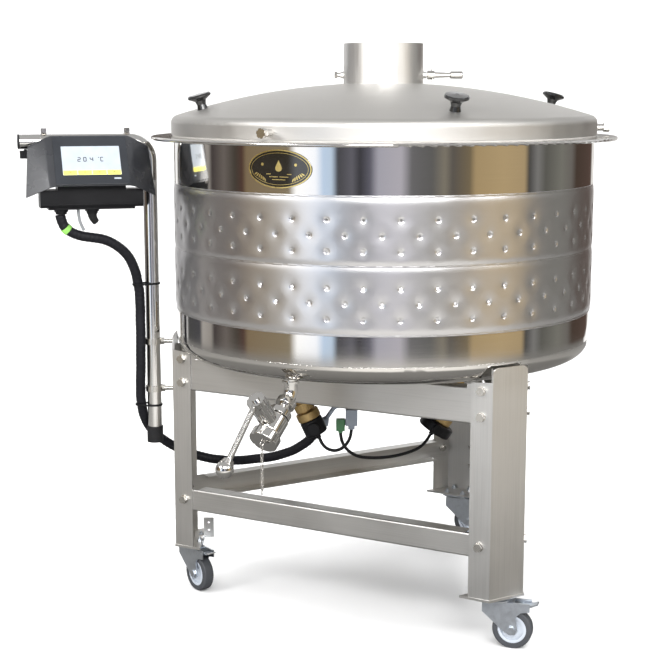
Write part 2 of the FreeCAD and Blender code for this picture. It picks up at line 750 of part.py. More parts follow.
def caster_plate(name):
    """The fixed plate, its ball race and the four bolts that hold it to the leg."""
    angle = LEG_ANGLES[name]
    out = radial(angle)
    side = tangent(angle)
    centre = out * SWIVEL_R
    corners = [centre + out * (PLATE_HALF * i) + side * (PLATE_HALF * j) for i, j in ((-1, -1), (1, -1), (1, 1), (-1, 1))]
    plate = prism([p + UP * (PLATE_TOP - PLATE_T) for p in corners], UP * PLATE_T)
    plate = cut(plate, caster_bores(name, PLATE_TOP - 20.0))
    race = cone(23.0, 20.0, 7.0, centre + UP * (PLATE_TOP - PLATE_T - 7.0))
    pin = cyl(7.0, 24.0, centre + UP * (PLATE_TOP - PLATE_T - 24.0))
    stop = cyl(11.0, 3.0, centre + UP * (PLATE_TOP - PLATE_T - 24.0))
    pieces = [joined([plate, race, pin, stop])]
    for i in (-1, 1):
        for j in (-1, 1):
            spot = centre + out * (PLATE_BOLT * i) + side * (PLATE_BOLT * j)
            bolt = joined([cyl(4.0, 20.0, spot + UP * (PLATE_TOP - PLATE_T)), hexagon(13.0, 5.0, spot + UP * STAND_Z)])
            nut = tube(6.4, 4.0, 2.6, spot + UP * (PLATE_TOP - PLATE_T - 2.6))
            pieces.append(bolt)
            pieces.append(nut)
    return pieces


FORK_TOP = PLATE_TOP - PLATE_T - 7.4
FORK_GAP = WHEEL_W / 2 + 2.0
FORK_T = 3.0


def local(points):
    """Points of the caster's side view: along the trail, and up."""
    return [V(x, 0, z) for x, z in points]


def fork_side(sign):
    outline = local([(-31, FORK_TOP), (-33, 92), (TRAIL - 22, WHEEL_R - 4), (TRAIL - 8, WHEEL_R - 13),
                     (TRAIL + 8, WHEEL_R - 13), (TRAIL + 15, WHEEL_R), (TRAIL + 9, 84), (TRAIL + 22, 96),
                     (TRAIL + 44, 100), (TRAIL + 44, FORK_TOP)])
    y = sign * FORK_GAP if sign > 0 else -FORK_GAP - FORK_T
    return prism([p + V(0, y, 0) for p in outline], V(0, FORK_T, 0))


def caster_fork(name):
    """The swivelling fork with the wheel's axle bolt and nut."""
    top = slab(-31, TRAIL + 44, -FORK_GAP - FORK_T, FORK_GAP + FORK_T, FORK_TOP - FORK_T, FORK_TOP)
    window = slab(TRAIL + 4, TRAIL + 60, -FORK_GAP + 3, FORK_GAP - 3, FORK_TOP - 10, FORK_TOP + 10)
    cup = tube(33.0, 26.0, 4.0, V(0, 0, FORK_TOP - 1.0))
    front = slab(-33, -30, -FORK_GAP - FORK_T, FORK_GAP + FORK_T, 92, FORK_TOP)
    body = joined([top, fork_side(-1), fork_side(1), cup, front])
    body = body.cut(window)
    body = cut(body, [cyl(12.0, 40.0, V(0, 0, FORK_TOP - 20.0)),
                      cyl(5.0, 80, V(TRAIL, -40, WHEEL_R), V(0, 1, 0)),
                      cyl(PEDAL_PIN_R + 0.05, 80, V(PEDAL_X, -40, PEDAL_Z), V(0, 1, 0))])
    half = FORK_GAP + FORK_T
    axle = cyl(5.0, 2 * half + 10.0, V(TRAIL, -half - 1.0, WHEEL_R), V(0, 1, 0))
    head = hexagon(17.0, 6.0, V(TRAIL, -half, WHEEL_R), V(0, -1, 0))
    nut = hexagon(17.0, 8.0, V(TRAIL, half, WHEEL_R), V(0, 1, 0)).cut(cyl(5.0, 60, V(TRAIL, 0, WHEEL_R), V(0, 1, 0)))
    bearing = tube(16.8, 13.0, 3.0, V(0, 0, FORK_TOP - FORK_T - 3.0))
    return [body, joined([axle, head]), nut, bearing]


PEDAL_X = TRAIL + 22.0
PEDAL_Z = 108.0
PEDAL_PIN_R = 3.0


def brake_pedal(name):
    """A pressed-steel pedal on a cross pin; its lower lip nears the tyre when it is pressed."""
    w = FORK_GAP - 4.0
    outline = local([(PEDAL_X - 9, 103.4), (PEDAL_X - 7, 110.0), (PEDAL_X + 4, 112.6), (PEDAL_X + 30, 117.0),
                     (PEDAL_X + 40, 120.5), (PEDAL_X + 41, 117.5), (PEDAL_X + 31, 113.6), (PEDAL_X + 8, 107.0),
                     (PEDAL_X + 2, 103.4)])
    plate = prism([p + V(0, -w, 0) for p in outline], V(0, 2 * w, 0))
    pin = cyl(PEDAL_PIN_R, 2 * (FORK_GAP + FORK_T) - 1.0, V(PEDAL_X, -FORK_GAP - FORK_T + 0.5, PEDAL_Z), V(0, 1, 0))
    return joined([plate, pin])


def tyre():
    ring = tube(WHEEL_R, HUB_R, WHEEL_W, V(TRAIL, -WHEEL_W / 2, WHEEL_R), V(0, 1, 0))
    return rounded(ring, 5.0, lambda e: e.Curve.TypeId == "Part::GeomCircle" and abs(e.Curve.Radius - WHEEL_R) < 0.1)


def hub():
    y = -WHEEL_W / 2 + 2.0
    rim = tube(HUB_R, HUB_R - 7.0, WHEEL_W - 4.0, V(TRAIL, y, WHEEL_R), V(0, 1, 0))
    disc = cyl(HUB_R - 5.0, WHEEL_W - 14.0, V(TRAIL, y + 5.0, WHEEL_R), V(0, 1, 0))
    boss = cyl(12.0, 2 * FORK_GAP - 1.0, V(TRAIL, -FORK_GAP + 0.5, WHEEL_R), V(0, 1, 0))
    body = joined([rim, disc, boss])
    return body.cut(cyl(5.05, 80, V(TRAIL, -40, WHEEL_R), V(0, 1, 0)))


def caster_place(name, solids):
    """Turns parts of one caster from its own frame, trailing along +X, to its leg."""
    centre = radial(LEG_ANGLES[name]) * SWIVEL_R
    turn = FreeCAD.Rotation(UP, TRAIL_ANGLES[name] - 90.0)
    place = FreeCAD.Placement(centre, turn)
    solids = solids if isinstance(solids, list) else [solids]
    return [moved(s, place) for s in solids]


# ---- drain valve --------------------------------------------------------------------------------
DRAIN_AZIMUTH = -35.0
DRAIN_DIP = 39.0
STEM_ROLL = 3.2
PIPE_R = 17.0
DRAIN_BEND_Z = 497.0
FLOW = radial(DRAIN_AZIMUTH) * math.cos(math.radians(DRAIN_DIP)) - UP * math.sin(math.radians(DRAIN_DIP))
NORMAL = radial(DRAIN_AZIMUTH) * math.sin(math.radians(DRAIN_DIP)) + UP * math.cos(math.radians(DRAIN_DIP))
STEM = unit(NORMAL * math.cos(math.radians(STEM_ROLL)) - tangent(DRAIN_AZIMUTH) * math.sin(math.radians(STEM_ROLL)))
CROSS = FLOW.cross(STEM)
LEVER_OFF = 7.3
DRAIN_CORNER = V(DRAIN_XY.x, DRAIN_XY.y, level(DRAIN_BEND_Z))
PIPE_END = 40.0           # along the flow from the corner to the pipe's end
BODY_AT = PIPE_END + 58.0
BONNET_TOP = 82.0
BALL_R = 20.0


def along_flow(distance, stem=0.0, cross=0.0):
    return DRAIN_CORNER + FLOW * distance + STEM * stem + CROSS * cross


def union_nut(at, r, width):
    """A round nut with grooves for a hook spanner."""
    nut = cyl(r, width, along_flow(at), FLOW)
    nut = rounded(nut, 2.0, lambda e: e.Curve.TypeId == "Part::GeomCircle")
    slots = []
    for k in range(4):
        a = math.radians(90 * k + 30)
        side = STEM * math.cos(a) + CROSS * math.sin(a)
        slots.append(stand_on(slab(-4, 4, -2.5, 2.5, -1, width + 1), along_flow(at) + side * r, FLOW, CROSS))
    return cut(nut, slots + [cyl(PIPE_R + 0.02, width + 4, along_flow(at - 2), FLOW)])


def drain_pipe():
    top = V(DRAIN_XY.x, DRAIN_XY.y, bottom_z(DRAIN_XY.x, DRAIN_XY.y) + 0.5)
    pipe = bent_pipe([top, DRAIN_CORNER, along_flow(PIPE_END)], PIPE_R, PIPE_R - 1.5, 34.0)
    collar = tube(PIPE_R + 5.0, PIPE_R - 1.0, 5.0, V(DRAIN_XY.x, DRAIN_XY.y, top.z - 12.0))
    cut_top = Part.makeSphere(CROWN_R, V(0, 0, CROWN_C_Z), UP, -90, -80, 360)
    return joined([pipe, collar]).cut(cut_top)


def drain_unions():
    return [union_nut(PIPE_END - 22.0, 25.0, 18.0), union_nut(PIPE_END + 12.0, 29.0, 18.0)]


def drain_valve_body():
    barrel = cyl(PIPE_R, 12.0, along_flow(PIPE_END), FLOW)
    middle = cyl(31.0, 50.0, along_flow(BODY_AT - 25.0), FLOW)
    middle = rounded(middle, 4.0, lambda e: e.Curve.TypeId == "Part::GeomCircle")
    spigot_in = cyl(PIPE_R, 30.0, along_flow(PIPE_END + 10), FLOW)
    spigot_out = cyl(26.0, 14.0, along_flow(BODY_AT + 20.0), FLOW)
    bonnet = cyl(21.0, BONNET_TOP - 20.0, along_flow(BODY_AT, 20.0), STEM)
    ribs = []
    for k in range(8):
        a = math.radians(45 * k)
        side = FLOW * math.cos(a) + CROSS * math.sin(a)
        ribs.append(cyl(4.0, BONNET_TOP - 32.0, along_flow(BODY_AT, 30.0) + side * 20.0, STEM))
    body = joined([barrel, middle, spigot_in, spigot_out, bonnet] + ribs)
    bore = cyl(PIPE_R - 2.0, 200.0, along_flow(PIPE_END - 10), FLOW)
    ball_room = Part.makeSphere(BALL_R + 0.4, along_flow(BODY_AT))
    stem_bore = cyl(6.05, 120.0, along_flow(BODY_AT), STEM)
    return cut(body, [bore, ball_room, stem_bore])


def drain_ball():
    ball = Part.makeSphere(BALL_R, along_flow(BODY_AT))
    ball = ball.cut(cyl(14.0, 80.0, along_flow(BODY_AT - 40), FLOW))
    stem = cyl(6.0, BONNET_TOP + 0.4 - 16.0, along_flow(BODY_AT, 16.0), STEM)
    return joined([ball, stem])


def drain_lever():
    """The hub, the knurled rod and the round grip."""
    a = math.radians(LEVER_OFF)
    reach = FLOW * math.cos(a) - CROSS * math.sin(a)
    hub = cyl(24.0, 14.0, along_flow(BODY_AT, BONNET_TOP + 0.5), STEM)
    teeth = []
    for k in range(12):
        t = math.radians(30 * k)
        side = FLOW * math.cos(t) + CROSS * math.sin(t)
        teeth.append(cyl(2.6, 20.0, along_flow(BODY_AT, BONNET_TOP - 2) + side * 24.5, STEM))
    hub = cut(hub, teeth)
    cap = cyl(10.0, 6.0, along_flow(BODY_AT, BONNET_TOP + 14.0), STEM)
    start = along_flow(BODY_AT, BONNET_TOP + 7.5)
    rod = cone(7.5, 5.5, 190.0, start, reach)
    grip = joined([Part.makeSphere(21.5, start + reach * 206.0), cone(13.0, 21.0, 20.0, start + reach * 181.0, reach)])
    return joined([hub, cap, rod, grip])


CAP_AT = BODY_AT + 35.0
CAP_R = 37.0


def drain_cap():
    """A blank cap nut over the outlet."""
    cap = cyl(CAP_R, 26.0, along_flow(CAP_AT - 8.0), FLOW)
    cap = rounded(cap, 3.0, lambda e: e.Curve.TypeId == "Part::GeomCircle")
    slots = []
    for k in range(4):
        a = math.radians(90 * k + 20)
        side = STEM * math.cos(a) + CROSS * math.sin(a)
        slots.append(stand_on(slab(-5, 5, -3, 3, -10, 22), along_flow(CAP_AT) + side * CAP_R, FLOW, CROSS))
    recess = cyl(26.4, 16.0, along_flow(CAP_AT - 10.0), FLOW)
    eye = Part.makeTorus(6.0, 1.5, along_flow(CAP_AT + 22.0), CROSS)
    return joined([cut(cap, slots + [recess]), eye])


def cap_chain():
    """A chain of oval links that hangs from the cap's eye."""
    links = []
    eye = along_flow(CAP_AT + 22.0)
    pitch = 10.0
    wire_r = 1.1
    half = 3.2
    heading = math.degrees(math.atan2(CROSS.y, CROSS.x))
    for k in range(12):
        centre = eye - UP * (9.4 + pitch * k)
        turn = math.radians(heading + 90.0 * (k % 2))
        a = V(math.cos(turn), math.sin(turn), 0)
        p = [centre + a * x + UP * z for x, z in ((-3.0, -half), (-3.0, half), (3.0, half), (3.0, -half))]
        path = Part.Wire([line(p[0], p[1]), arc(p[1], centre + UP * (half + 3.0), p[2]), line(p[2], p[3]),
                          arc(p[3], centre - UP * (half + 3.0), p[0])])
        profile = Part.Wire(Part.makeCircle(wire_r, p[0], UP))
        links.append(path.makePipeShell([profile], True, True))
    return links


# ---- pumps and wiring ---------------------------------------------------------------------------
PUMP_MOTORS = {"left": V(-188, -90, level(340.0)), "right": V(165, 150, level(282.0))}
PUMP_LEANS = {"left": 25.0, "right": 34.0}      # degrees from upright
PUMP_SIZES = {"left": (31.0, 46.0), "right": (49.0, 32.0)}   # the motor's radius and length


def pump_axis(name):
    a = math.radians(PUMP_LEANS[name])
    side = -1.0 if name == "left" else 1.0
    return V(side * math.sin(a), 0, math.cos(a))


OUTLET_TURNS = {"left": 0.0, "right": 18.0}     # degrees from straight back towards the middle
OUTLET_TAIL = 16.0        # the end of an outlet that a hose is pushed on


def outlet_way(name):
    a = math.radians(OUTLET_TURNS[name])
    back = V(0, 1, 0)
    return back * math.cos(a) + pump_axis(name).cross(back) * math.sin(a)


def outlet_root(name):
    """How far an outlet stands out before its tail, so that a hose clears the motor."""
    return max(36.0, PUMP_SIZES[name][0] + 3.0)


def circles(edge):
    return edge.Curve.TypeId == "Part::GeomCircle"


def pump_solids(name):
    """A wet-rotor circulation pump: its motor, and the housing, union nut and pipe above it."""
    axis = pump_axis(name)
    foot = PUMP_MOTORS[name]
    r, length = PUMP_SIZES[name]
    motor = rounded(cyl(r, length, foot - axis * (length / 2), axis), 6.0, circles)
    dial = cyl(15.0, 8.0, foot + V(0, -r + 2.0, 0), V(0, -1, 0))
    plug = cyl(7.0, 14.0, foot - axis * (length / 2 - 2.0), axis * -1)
    top = foot + axis * (length / 2)
    volute = rounded(cyl(32.0, 24.0, top, axis), 4.0, circles)
    neck = cyl(PORT_R + 1.0, 36.0, top + axis * 22.0, axis)
    spout = top + axis * 13.0
    way = outlet_way(name)
    root = outlet_root(name)
    outlet = joined([cyl(12.0, root + OUTLET_TAIL, spout, way), cyl(12.4, root, spout, way)])
    nut_start = top + axis * 29.0
    nut = cyl(27.0, 22.0, nut_start, axis)
    grooves = []
    x = V(0, 1, 0)
    y = axis.cross(x)
    for k in range(24):
        t = 2 * math.pi * k / 24
        grooves.append(cyl(1.6, 26.0, nut_start - axis * 2.0 + (x * math.cos(t) + y * math.sin(t)) * 28.0, axis))
    nut = nut.cut(Part.makeCompound(grooves)).cut(cyl(PORT_R + 1.02, 40, nut_start - axis * 5.0, axis))
    port = PUMP_PORTS[name]
    pipe_start = top + axis * 58.0
    corner = foot + axis * abs((port.x - foot.x) / axis.x)
    roof = V(corner.x, corner.y, bottom_z(corner.x, corner.y) + 0.5)
    pipe = bent_pipe([pipe_start, corner, roof], PORT_R, PORT_R - 1.5, 50.0)
    pipe = pipe.cut(Part.makeSphere(CROWN_R, V(0, 0, CROWN_C_Z), UP, -90, -80, 360))
    bores = [cyl(PORT_R - 2.0, 90, top + axis * 14.0, axis), cyl(9.0, root + OUTLET_TAIL + 8.0, spout, way)]
    housing = cut(joined([volute, neck, outlet]), bores)
    return joined([motor, dial, plug]), [housing, nut, pipe]


def pump_bracket():
    """A folded sheet under the front rail that carries the left pump."""
    z = level(437.0)
    n = radial(-30.0)
    s = tangent(-30.0)
    base = n * (RAIL_FACE_R - 38.0)
    plate = prism([base + s * -215 + UP * (z - 0.2), base + s * -150 + UP * (z - 0.2),
                   base + s * -176 + UP * (z - 44.0), base + s * -190 + UP * (z - 52.0)], n * 3.0)
    lip = prism([base + s * -215 + UP * (z - 3.2), base + s * -150 + UP * (z - 3.2),
                 base + s * -150 - n * 30 + UP * (z - 3.2), base + s * -215 - n * 30 + UP * (z - 3.2)], UP * 3.0)
    return joined([plate, lip])


BOX_AT = V(-85.0, -60.0, level(358.0))


def connector_box():
    """A grey terminal box and the plug beside it, hung on a strap from the kettle's bottom."""
    body = slab(BOX_AT.x - 16, BOX_AT.x + 16, BOX_AT.y - 14, BOX_AT.y + 14, BOX_AT.z - 22, BOX_AT.z + 22)
    body = rounded(body, 3.0, lambda e: e.Length > 40)
    strap = slab(BOX_AT.x - 8, BOX_AT.x + 8, BOX_AT.y - 1.5, BOX_AT.y + 1.5, BOX_AT.z + 21, BOTTOM_Z + 0.3)
    lug = cyl(9.0, 12.0, V(BOX_AT.x, BOX_AT.y, BOX_AT.z - 33), UP)
    clip = slab(BOX_AT.x - 17.8, BOX_AT.x - 8, BOX_AT.y - 4, BOX_AT.y + 4, BOX_AT.z - 22, BOX_AT.z - 6)
    loom_end = V(*LOOM_ROUTE[-1])
    loom_way = unit(loom_end - V(*LOOM_ROUTE[-2]))
    sleeve = cone(LOOM_D / 2 + 2.0, 8.0, 16.0, loom_end, loom_way)
    corner = loom_end + loom_way * 58.0
    lead = bent_pipe([loom_end + loom_way * 14.0, corner, V(BOX_AT.x - 8.0, BOX_AT.y, corner.z + 4.0)], 6.0, 0, 18.0)
    return [joined([body, strap, lug, clip]), joined([sleeve, lead])]


def signal_plug():
    at = V(BOX_AT.x - 30.0, BOX_AT.y, BOX_AT.z - 19.0)
    body = rounded(slab(at.x - 12, at.x + 12, at.y - 10, at.y + 10, at.z - 18, at.z + 14), 3.0, lambda e: e.Length > 25)
    stub = cyl(6.0, 6.0, V(at.x, at.y, at.z - 24.0), UP)
    return joined([body, stub])


LOOM_ROUTE = [
    (-848, -118, 1051.5), (-846, -117, 1034), (-833, -111, 1012), (-808, -102, 997), (-774, -90, 990),
    (-736, -74, 982), (-702, -55, 960), (-677, -38, 926), (-663, -26, 882), (-657, -20, 832),
    (-656, -19.5, 778), (-657, -19, 722), (-657.5, -19.5, 664), (-660, -16, 606), (-662.5, -6, 552),
    (-661, 10, 502), (-651, 31, 460), (-629, 56, 421), (-594, 80, 388), (-552, 99, 362),
    (-508, 107, 344), (-460, 103, 335), (-412, 88, 336), (-366, 66, 345), (-322, 40, 356),
    (-280, 16, 370), (-241, -6, 390), (-208, -24, 416), (-181, -37, 446), (-161, -45, 477)]


def loom():
    return cord("loom", LOOM_ROUTE, LOOM_D)


PUMP_CABLE_ROUTES = {
    "left": [(-173, -90, 445), (-166, -89, 427), (-151, -84, 412), (-130, -76, 404), (-109, -68, 410),
             (-93, -62, 427), (-86, -60, 447), (-85, -60, 461.6)],
    "right": [(-115, -60, 451.4), (-113, -58, 431), (-103, -51, 409), (-86, -38, 389), (-62, -16, 372),
              (-32, 12, 362), (4, 44, 354), (44, 78, 350), (84, 110, 352), (116, 133, 359), (137, 145, 375),
              (148.8, 149.6, 395.0)],
}


# ---- control box on its arm ---------------------------------------------------------------------
ARM = V(math.cos(math.radians(ARM_YAW)), math.sin(math.radians(ARM_YAW)), 0)
FACE = V(math.sin(math.radians(ARM_YAW)), -math.cos(math.radians(ARM_YAW)), 0)
ARM_MID = V(POST_X, 0, level(ARM_Z)) - ARM * BOX_MID


def box_point(along, out, z):
    """A point of the control box: along the arm, out towards the user, height above the floor."""
    return V(ARM_MID.x, ARM_MID.y, 0) + ARM * along + FACE * out + UP * z


def control_post():
    corner = V(POST_X, 0, level(ARM_Z))
    foot = V(POST_X, 0, level(POST_FOOT_Z) + 6.0)
    end = corner - ARM * ARM_END
    return bent_pipe([foot, corner, end], POST_R, POST_R - 2.0, ARM_BEND_R)


def post_caps():
    """Rubber foot of the post and the plug in the arm's end."""
    z = level(POST_FOOT_Z)
    foot = tube(POST_R + 3.0, POST_R, 38.0, V(POST_X, 0, z + 6.0))
    floor = cyl(POST_R + 3.0, 6.0, V(POST_X, 0, z))
    end = V(POST_X, 0, level(ARM_Z)) - ARM * ARM_END
    plug = joined([cyl(POST_R, 4.0, end, ARM * -1), cyl(POST_R - 2.0, 14.0, end, ARM)])
    return [joined([foot, floor]), plug]


STANDOFF_Z = (560.0, 429.0)


def post_standoffs():
    """Two clamps round the post, each on a stud screwed to the leg's web."""
    pieces = []
    for z in STANDOFF_Z:
        centre = V(POST_X, 0, level(z))
        ring = tube(POST_R + 4.0, POST_R, 16.0, centre - UP * 8.0)
        start = POST_X + POST_R + 3.0
        rod = cyl(6.0, -LEG_WEB_R - start + 0.0, V(start, 0, level(z)), V(1, 0, 0))
        nut = hexagon(17.0, 8.0, V(start, 0, level(z)), V(1, 0, 0))
        ear = slab(POST_X - 4.0, POST_X + 4.0, 20.0, 34.0, level(z) - 7.0, level(z) + 7.0)
        bolt = cyl(3.0, 22.0, V(POST_X - 11.0, 29.0, level(z)), V(1, 0, 0))
        pieces.append(joined([ring, rod, nut, ear, bolt]))
    return pieces


HOOD_BACK = [(-156, 24, 1237), (156, 24, 1237), (168, 72, 1099), (-168, 72, 1099)]
HOOD_FRONT = [(-102, 42, 1256), (102, 42, 1256), (102, 122, 1130), (-102, 122, 1130)]
SCREEN_W = 184.0
SCREEN_H = 128.0


def hood_block(front, back):
    points = [box_point(*p) for p in front] + [box_point(*p) for p in back]
    faces = [(0, 1, 2), (0, 2, 3), (4, 6, 5), (4, 7, 6), (0, 5, 1), (0, 4, 5), (1, 6, 2), (1, 5, 6),
             (3, 2, 6), (3, 6, 7), (0, 3, 7), (0, 7, 4)]
    return poly_solid(points, faces)


FACE_TILT = math.atan2(122.0 - 42.0, 1256.0 - 1130.0)
FACE_NORMAL = unit(FACE * math.cos(FACE_TILT) + UP * math.sin(FACE_TILT))
FACE_UP = unit(UP * math.cos(FACE_TILT) - FACE * math.sin(FACE_TILT))
FACE_MID = box_point(0, 82, 1193)


def screen_block(width, height, depth, back):
    """A block in the hood's front face, centred on it."""
    block = slab(-width / 2, width / 2, -height / 2, height / 2, -back, depth - back)
    return stand_on(block, FACE_MID, FACE_NORMAL, ARM)


def control_hood():
    """A folded hood: a sloping front and two wings swept back, open behind and below."""
    outer = hood_block(HOOD_FRONT, HOOD_BACK)
    front_in = [(-101.3, 41.5, 1251.1), (101.3, 41.5, 1251.1), (101.3, 150.1, 1080), (-101.3, 150.1, 1080)]
    back_in = [(-171.5, 18.1, 1226.4), (171.5, 18.1, 1226.4), (187.1, 85.1, 1040), (-187.1, 85.1, 1040)]
    inner = hood_block(front_in, back_in)
    hood = outer.cut(inner)
    return hood.cut(screen_block(SCREEN_W, SCREEN_H, 30.0, 15.0))


def display_panel():
    """The flush touch panel and the module behind it."""
    glass = screen_block(SCREEN_W - 0.4, SCREEN_H - 0.4, 4.0, 3.4)
    return glass


def control_housing():
    """The black case under and behind the hood."""
    tray = prism([box_point(-133, out, z) for out, z in ((27, 1072), (84, 1072), (88, 1078), (88, 1118), (27, 1118))],
                 ARM * 266.0)
    rim = prism([box_point(-112, out, z) for out, z in ((34, 1066), (80, 1066), (80, 1073), (34, 1073))], ARM * 224.0)
    upper = prism([box_point(-88, out, z) for out, z in ((27, 1117), (88, 1117), (88, 1136), (60, 1190), (34, 1226), (27, 1226))],
                  ARM * 176.0)
    return joined([tray, rim, upper])


def cable_glands():
    """Two glands under the case and the nuts on them."""
    glands = []
    for along in (-78.0, 2.0):
        base = box_point(along, 57.0, 1066.0)
        nut = hexagon(32.0, 6.0, base - UP * 6.0, UP)
        dome = cone(15.5, 14.0, 6.5, base - UP * 6.0, UP * -1)
        dome = joined([nut, dome])
        glands.append(dome)
    return glands


def signal_lead():
    """The short grey lead between the case and the second gland."""
    top = box_point(-34.0, 57.0, 1066.0)
    route = [(top.x, top.y, 1065.6), (top.x + 1, top.y, 1046), (top.x + 5, top.y, 1027), (top.x + 13, top.y + 3, 1010)]
    return cord("signal_lead", route, 8.0)


CLAMP_AT = (-112.0, 105.0)


def arm_clamps():
    """Two split clamps that hold the case to the arm and let it tilt, each with its bolt."""
    pieces = []
    for along in CLAMP_AT:
        centre = ARM_MID + ARM * along
        ring = tube(POST_R + 5.0, POST_R + 0.05, 14.0, centre - ARM * 7.0, ARM)
        ear = stand_on(slab(-7, 7, -7, 7, 0, 12), centre + UP * (POST_R + 3.0), UP, FACE)
        bolt = cyl(3.5, 30.0, centre + UP * (POST_R + 9.0) - FACE * 15.0, FACE)
        head = hexagon(11.0, 5.0, centre + UP * (POST_R + 9.0) + FACE * 15.0, FACE)
        inward = 1.0 if along < 0 else -1.0
        start = centre + FACE * (POST_R + 2.0)
        reach = ARM * (inward * 40.0)
        arm_plate = prism([start - ARM * 7 - UP * 8, start + ARM * 7 - UP * 8, start + ARM * 7 + UP * 8,
                           start - ARM * 7 + UP * 8], FACE * 6.0)
        link = prism([start - UP * 8 + FACE * 3.4, start + UP * 8 + FACE * 3.4, start + UP * 8 + FACE * 5.9,
                      start - UP * 8 + FACE * 5.9], reach)
        pieces.append(joined([ring, ear, bolt, head, arm_plate, link]))
    return pieces


KNOB_ALONG = -160.0


def arm_knob():
    """A star knob whose screw locks the arm's end from below."""
    centre = ARM_MID + ARM * KNOB_ALONG + FACE * 4.0
    base = centre - UP * (POST_R + 0.3)
    screw = cyl(4.0, 6.0, base, UP * -1)
    grip = cyl(12.5, 20.0, base - UP * 4.0, UP * -1)
    lobes = [cyl(4.5, 20.0, base - UP * 4.0 + V(math.cos(math.radians(60 * k)), math.sin(math.radians(60 * k)), 0) * 10.5,
                 UP * -1) for k in range(6)]
    return joined([screw, grip] + lobes)


TIES = ((856.0, -659.6, -22.6), (520.0, -661.8, 4.0))     # height, and the loom's centre there


def tie_outline(x, y, grow):
    """The outline of a strap pulled tight round the post and the loom, as seen from above."""
    circles_round = [(POST_X, 0.0, POST_R + grow), (x, y, LOOM_D / 2 + grow)]
    dx, dy = x - POST_X, y
    gap = math.hypot(dx, dy)
    lean = math.acos((circles_round[0][2] - circles_round[1][2]) / gap)
    heading = math.atan2(dy, dx)
    points = []
    for k in range(13):
        a = heading + lean + (2 * math.pi - 2 * lean) * k / 12
        points.append(V(POST_X + circles_round[0][2] * math.cos(a), circles_round[0][2] * math.sin(a), 0))
    for k in range(9):
        a = heading - lean + 2 * lean * k / 8
        points.append(V(x + circles_round[1][2] * math.cos(a), y + circles_round[1][2] * math.sin(a), 0))
    return points


def cable_ties():
    """Straps that hold the loom to the post."""
    ties = []
    for z, x, y in TIES:
        outer = prism([p + UP * (z - 2.5) for p in tie_outline(x, y, 3.0)], UP * 5.0)
        inner = prism([p + UP * (z - 4.0) for p in tie_outline(x, y, 1.4)], UP * 8.0)
        ties.append(outer.cut(inner))
    return ties


# ---- write every node ---------------------------------------------------------------------------
write("kettle_shell", kettle_shell())
write("cooling_jacket", cooling_jacket())
write("rim_ring", rim_ring())
write("maker_badge", maker_badge())
write("malt_pipe", malt_pipe() + malt_stand() + malt_sieves())
write("heating_coils", heating_coils())
write("hold_down_bar", hold_down_bar())
write("wing_nut", wing_nut())
write("temperature_probe", temperature_probe())
write("lid", lid())
write("lid_gasket", lid_gasket())
write("flue", flue())
write("damper", damper())
write("lid_knobs", lid_knobs())
for number, angle in enumerate(LID_SCREW_ANGLES):
    write("lid_screw_" + str(number + 1), lid_screw(angle))
for name in LEG_ANGLES:
    write("leg_" + name, leg(name))
for side_name, (a, b, angle) in RAIL_SIDES.items():
    extra = [pump_bracket()] if side_name == "front" else []
    write("top_rail_" + side_name, [rail(angle, 437.0, 527.0, 10.0)] + extra)
write("lower_rails", [rail(angle, 102.0, 162.0, 0.0) for a, b, angle in RAIL_SIDES.values()])
write("frame_bolts", frame_bolts())
write("caster_plates", [piece for name in LEG_ANGLES for piece in caster_plate(name)])
for name in LEG_ANGLES:
    write("caster_fork_" + name, caster_place(name, caster_fork(name)))
    write("tyre_" + name, caster_place(name, tyre()))
    write("wheel_hub_" + name, caster_place(name, hub()))
    write("brake_pedal_" + name, caster_place(name, brake_pedal(name)))
write("drain_pipe", [drain_pipe()] + drain_unions())
write("drain_valve_body", drain_valve_body())
write("drain_lever", [drain_lever(), drain_ball()])
write("drain_cap", drain_cap())
write("cap_chain", cap_chain())
motors = []
housings = []
for name in PUMP_MOTORS:
    motor, hydraulic = pump_solids(name)
    motors.append(motor)
    housings += hydraulic
write("pump_motors", motors)
write("pump_housings", housings)
write("connector_box", connector_box())
write("signal_plug", signal_plug())
for name, route in PUMP_CABLE_ROUTES.items():
    write("pump_cable_" + name, cord("pump_cable_" + name, route, CABLE_D))
write("loom", loom())
write("signal_lead", signal_lead())
write("cable_ties", cable_ties())
write("control_post", control_post())
write("post_caps", post_caps())
write("post_standoffs", post_standoffs())
write("arm_clamps", arm_clamps())
write("arm_knob", arm_knob())
write("control_housing", [control_housing()] + cable_glands())
write("control_hood", control_hood())
write("display_panel", display_panel())
print("overall box without cords", [round(v, 2) for v in (OVERALL.XMin, OVERALL.YMin, OVERALL.ZMin)],
      [round(v, 2) for v in (OVERALL.XMax, OVERALL.YMax, OVERALL.ZMax)])
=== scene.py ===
import bpy
import bmesh
import math
from mathutils import Matrix, Vector


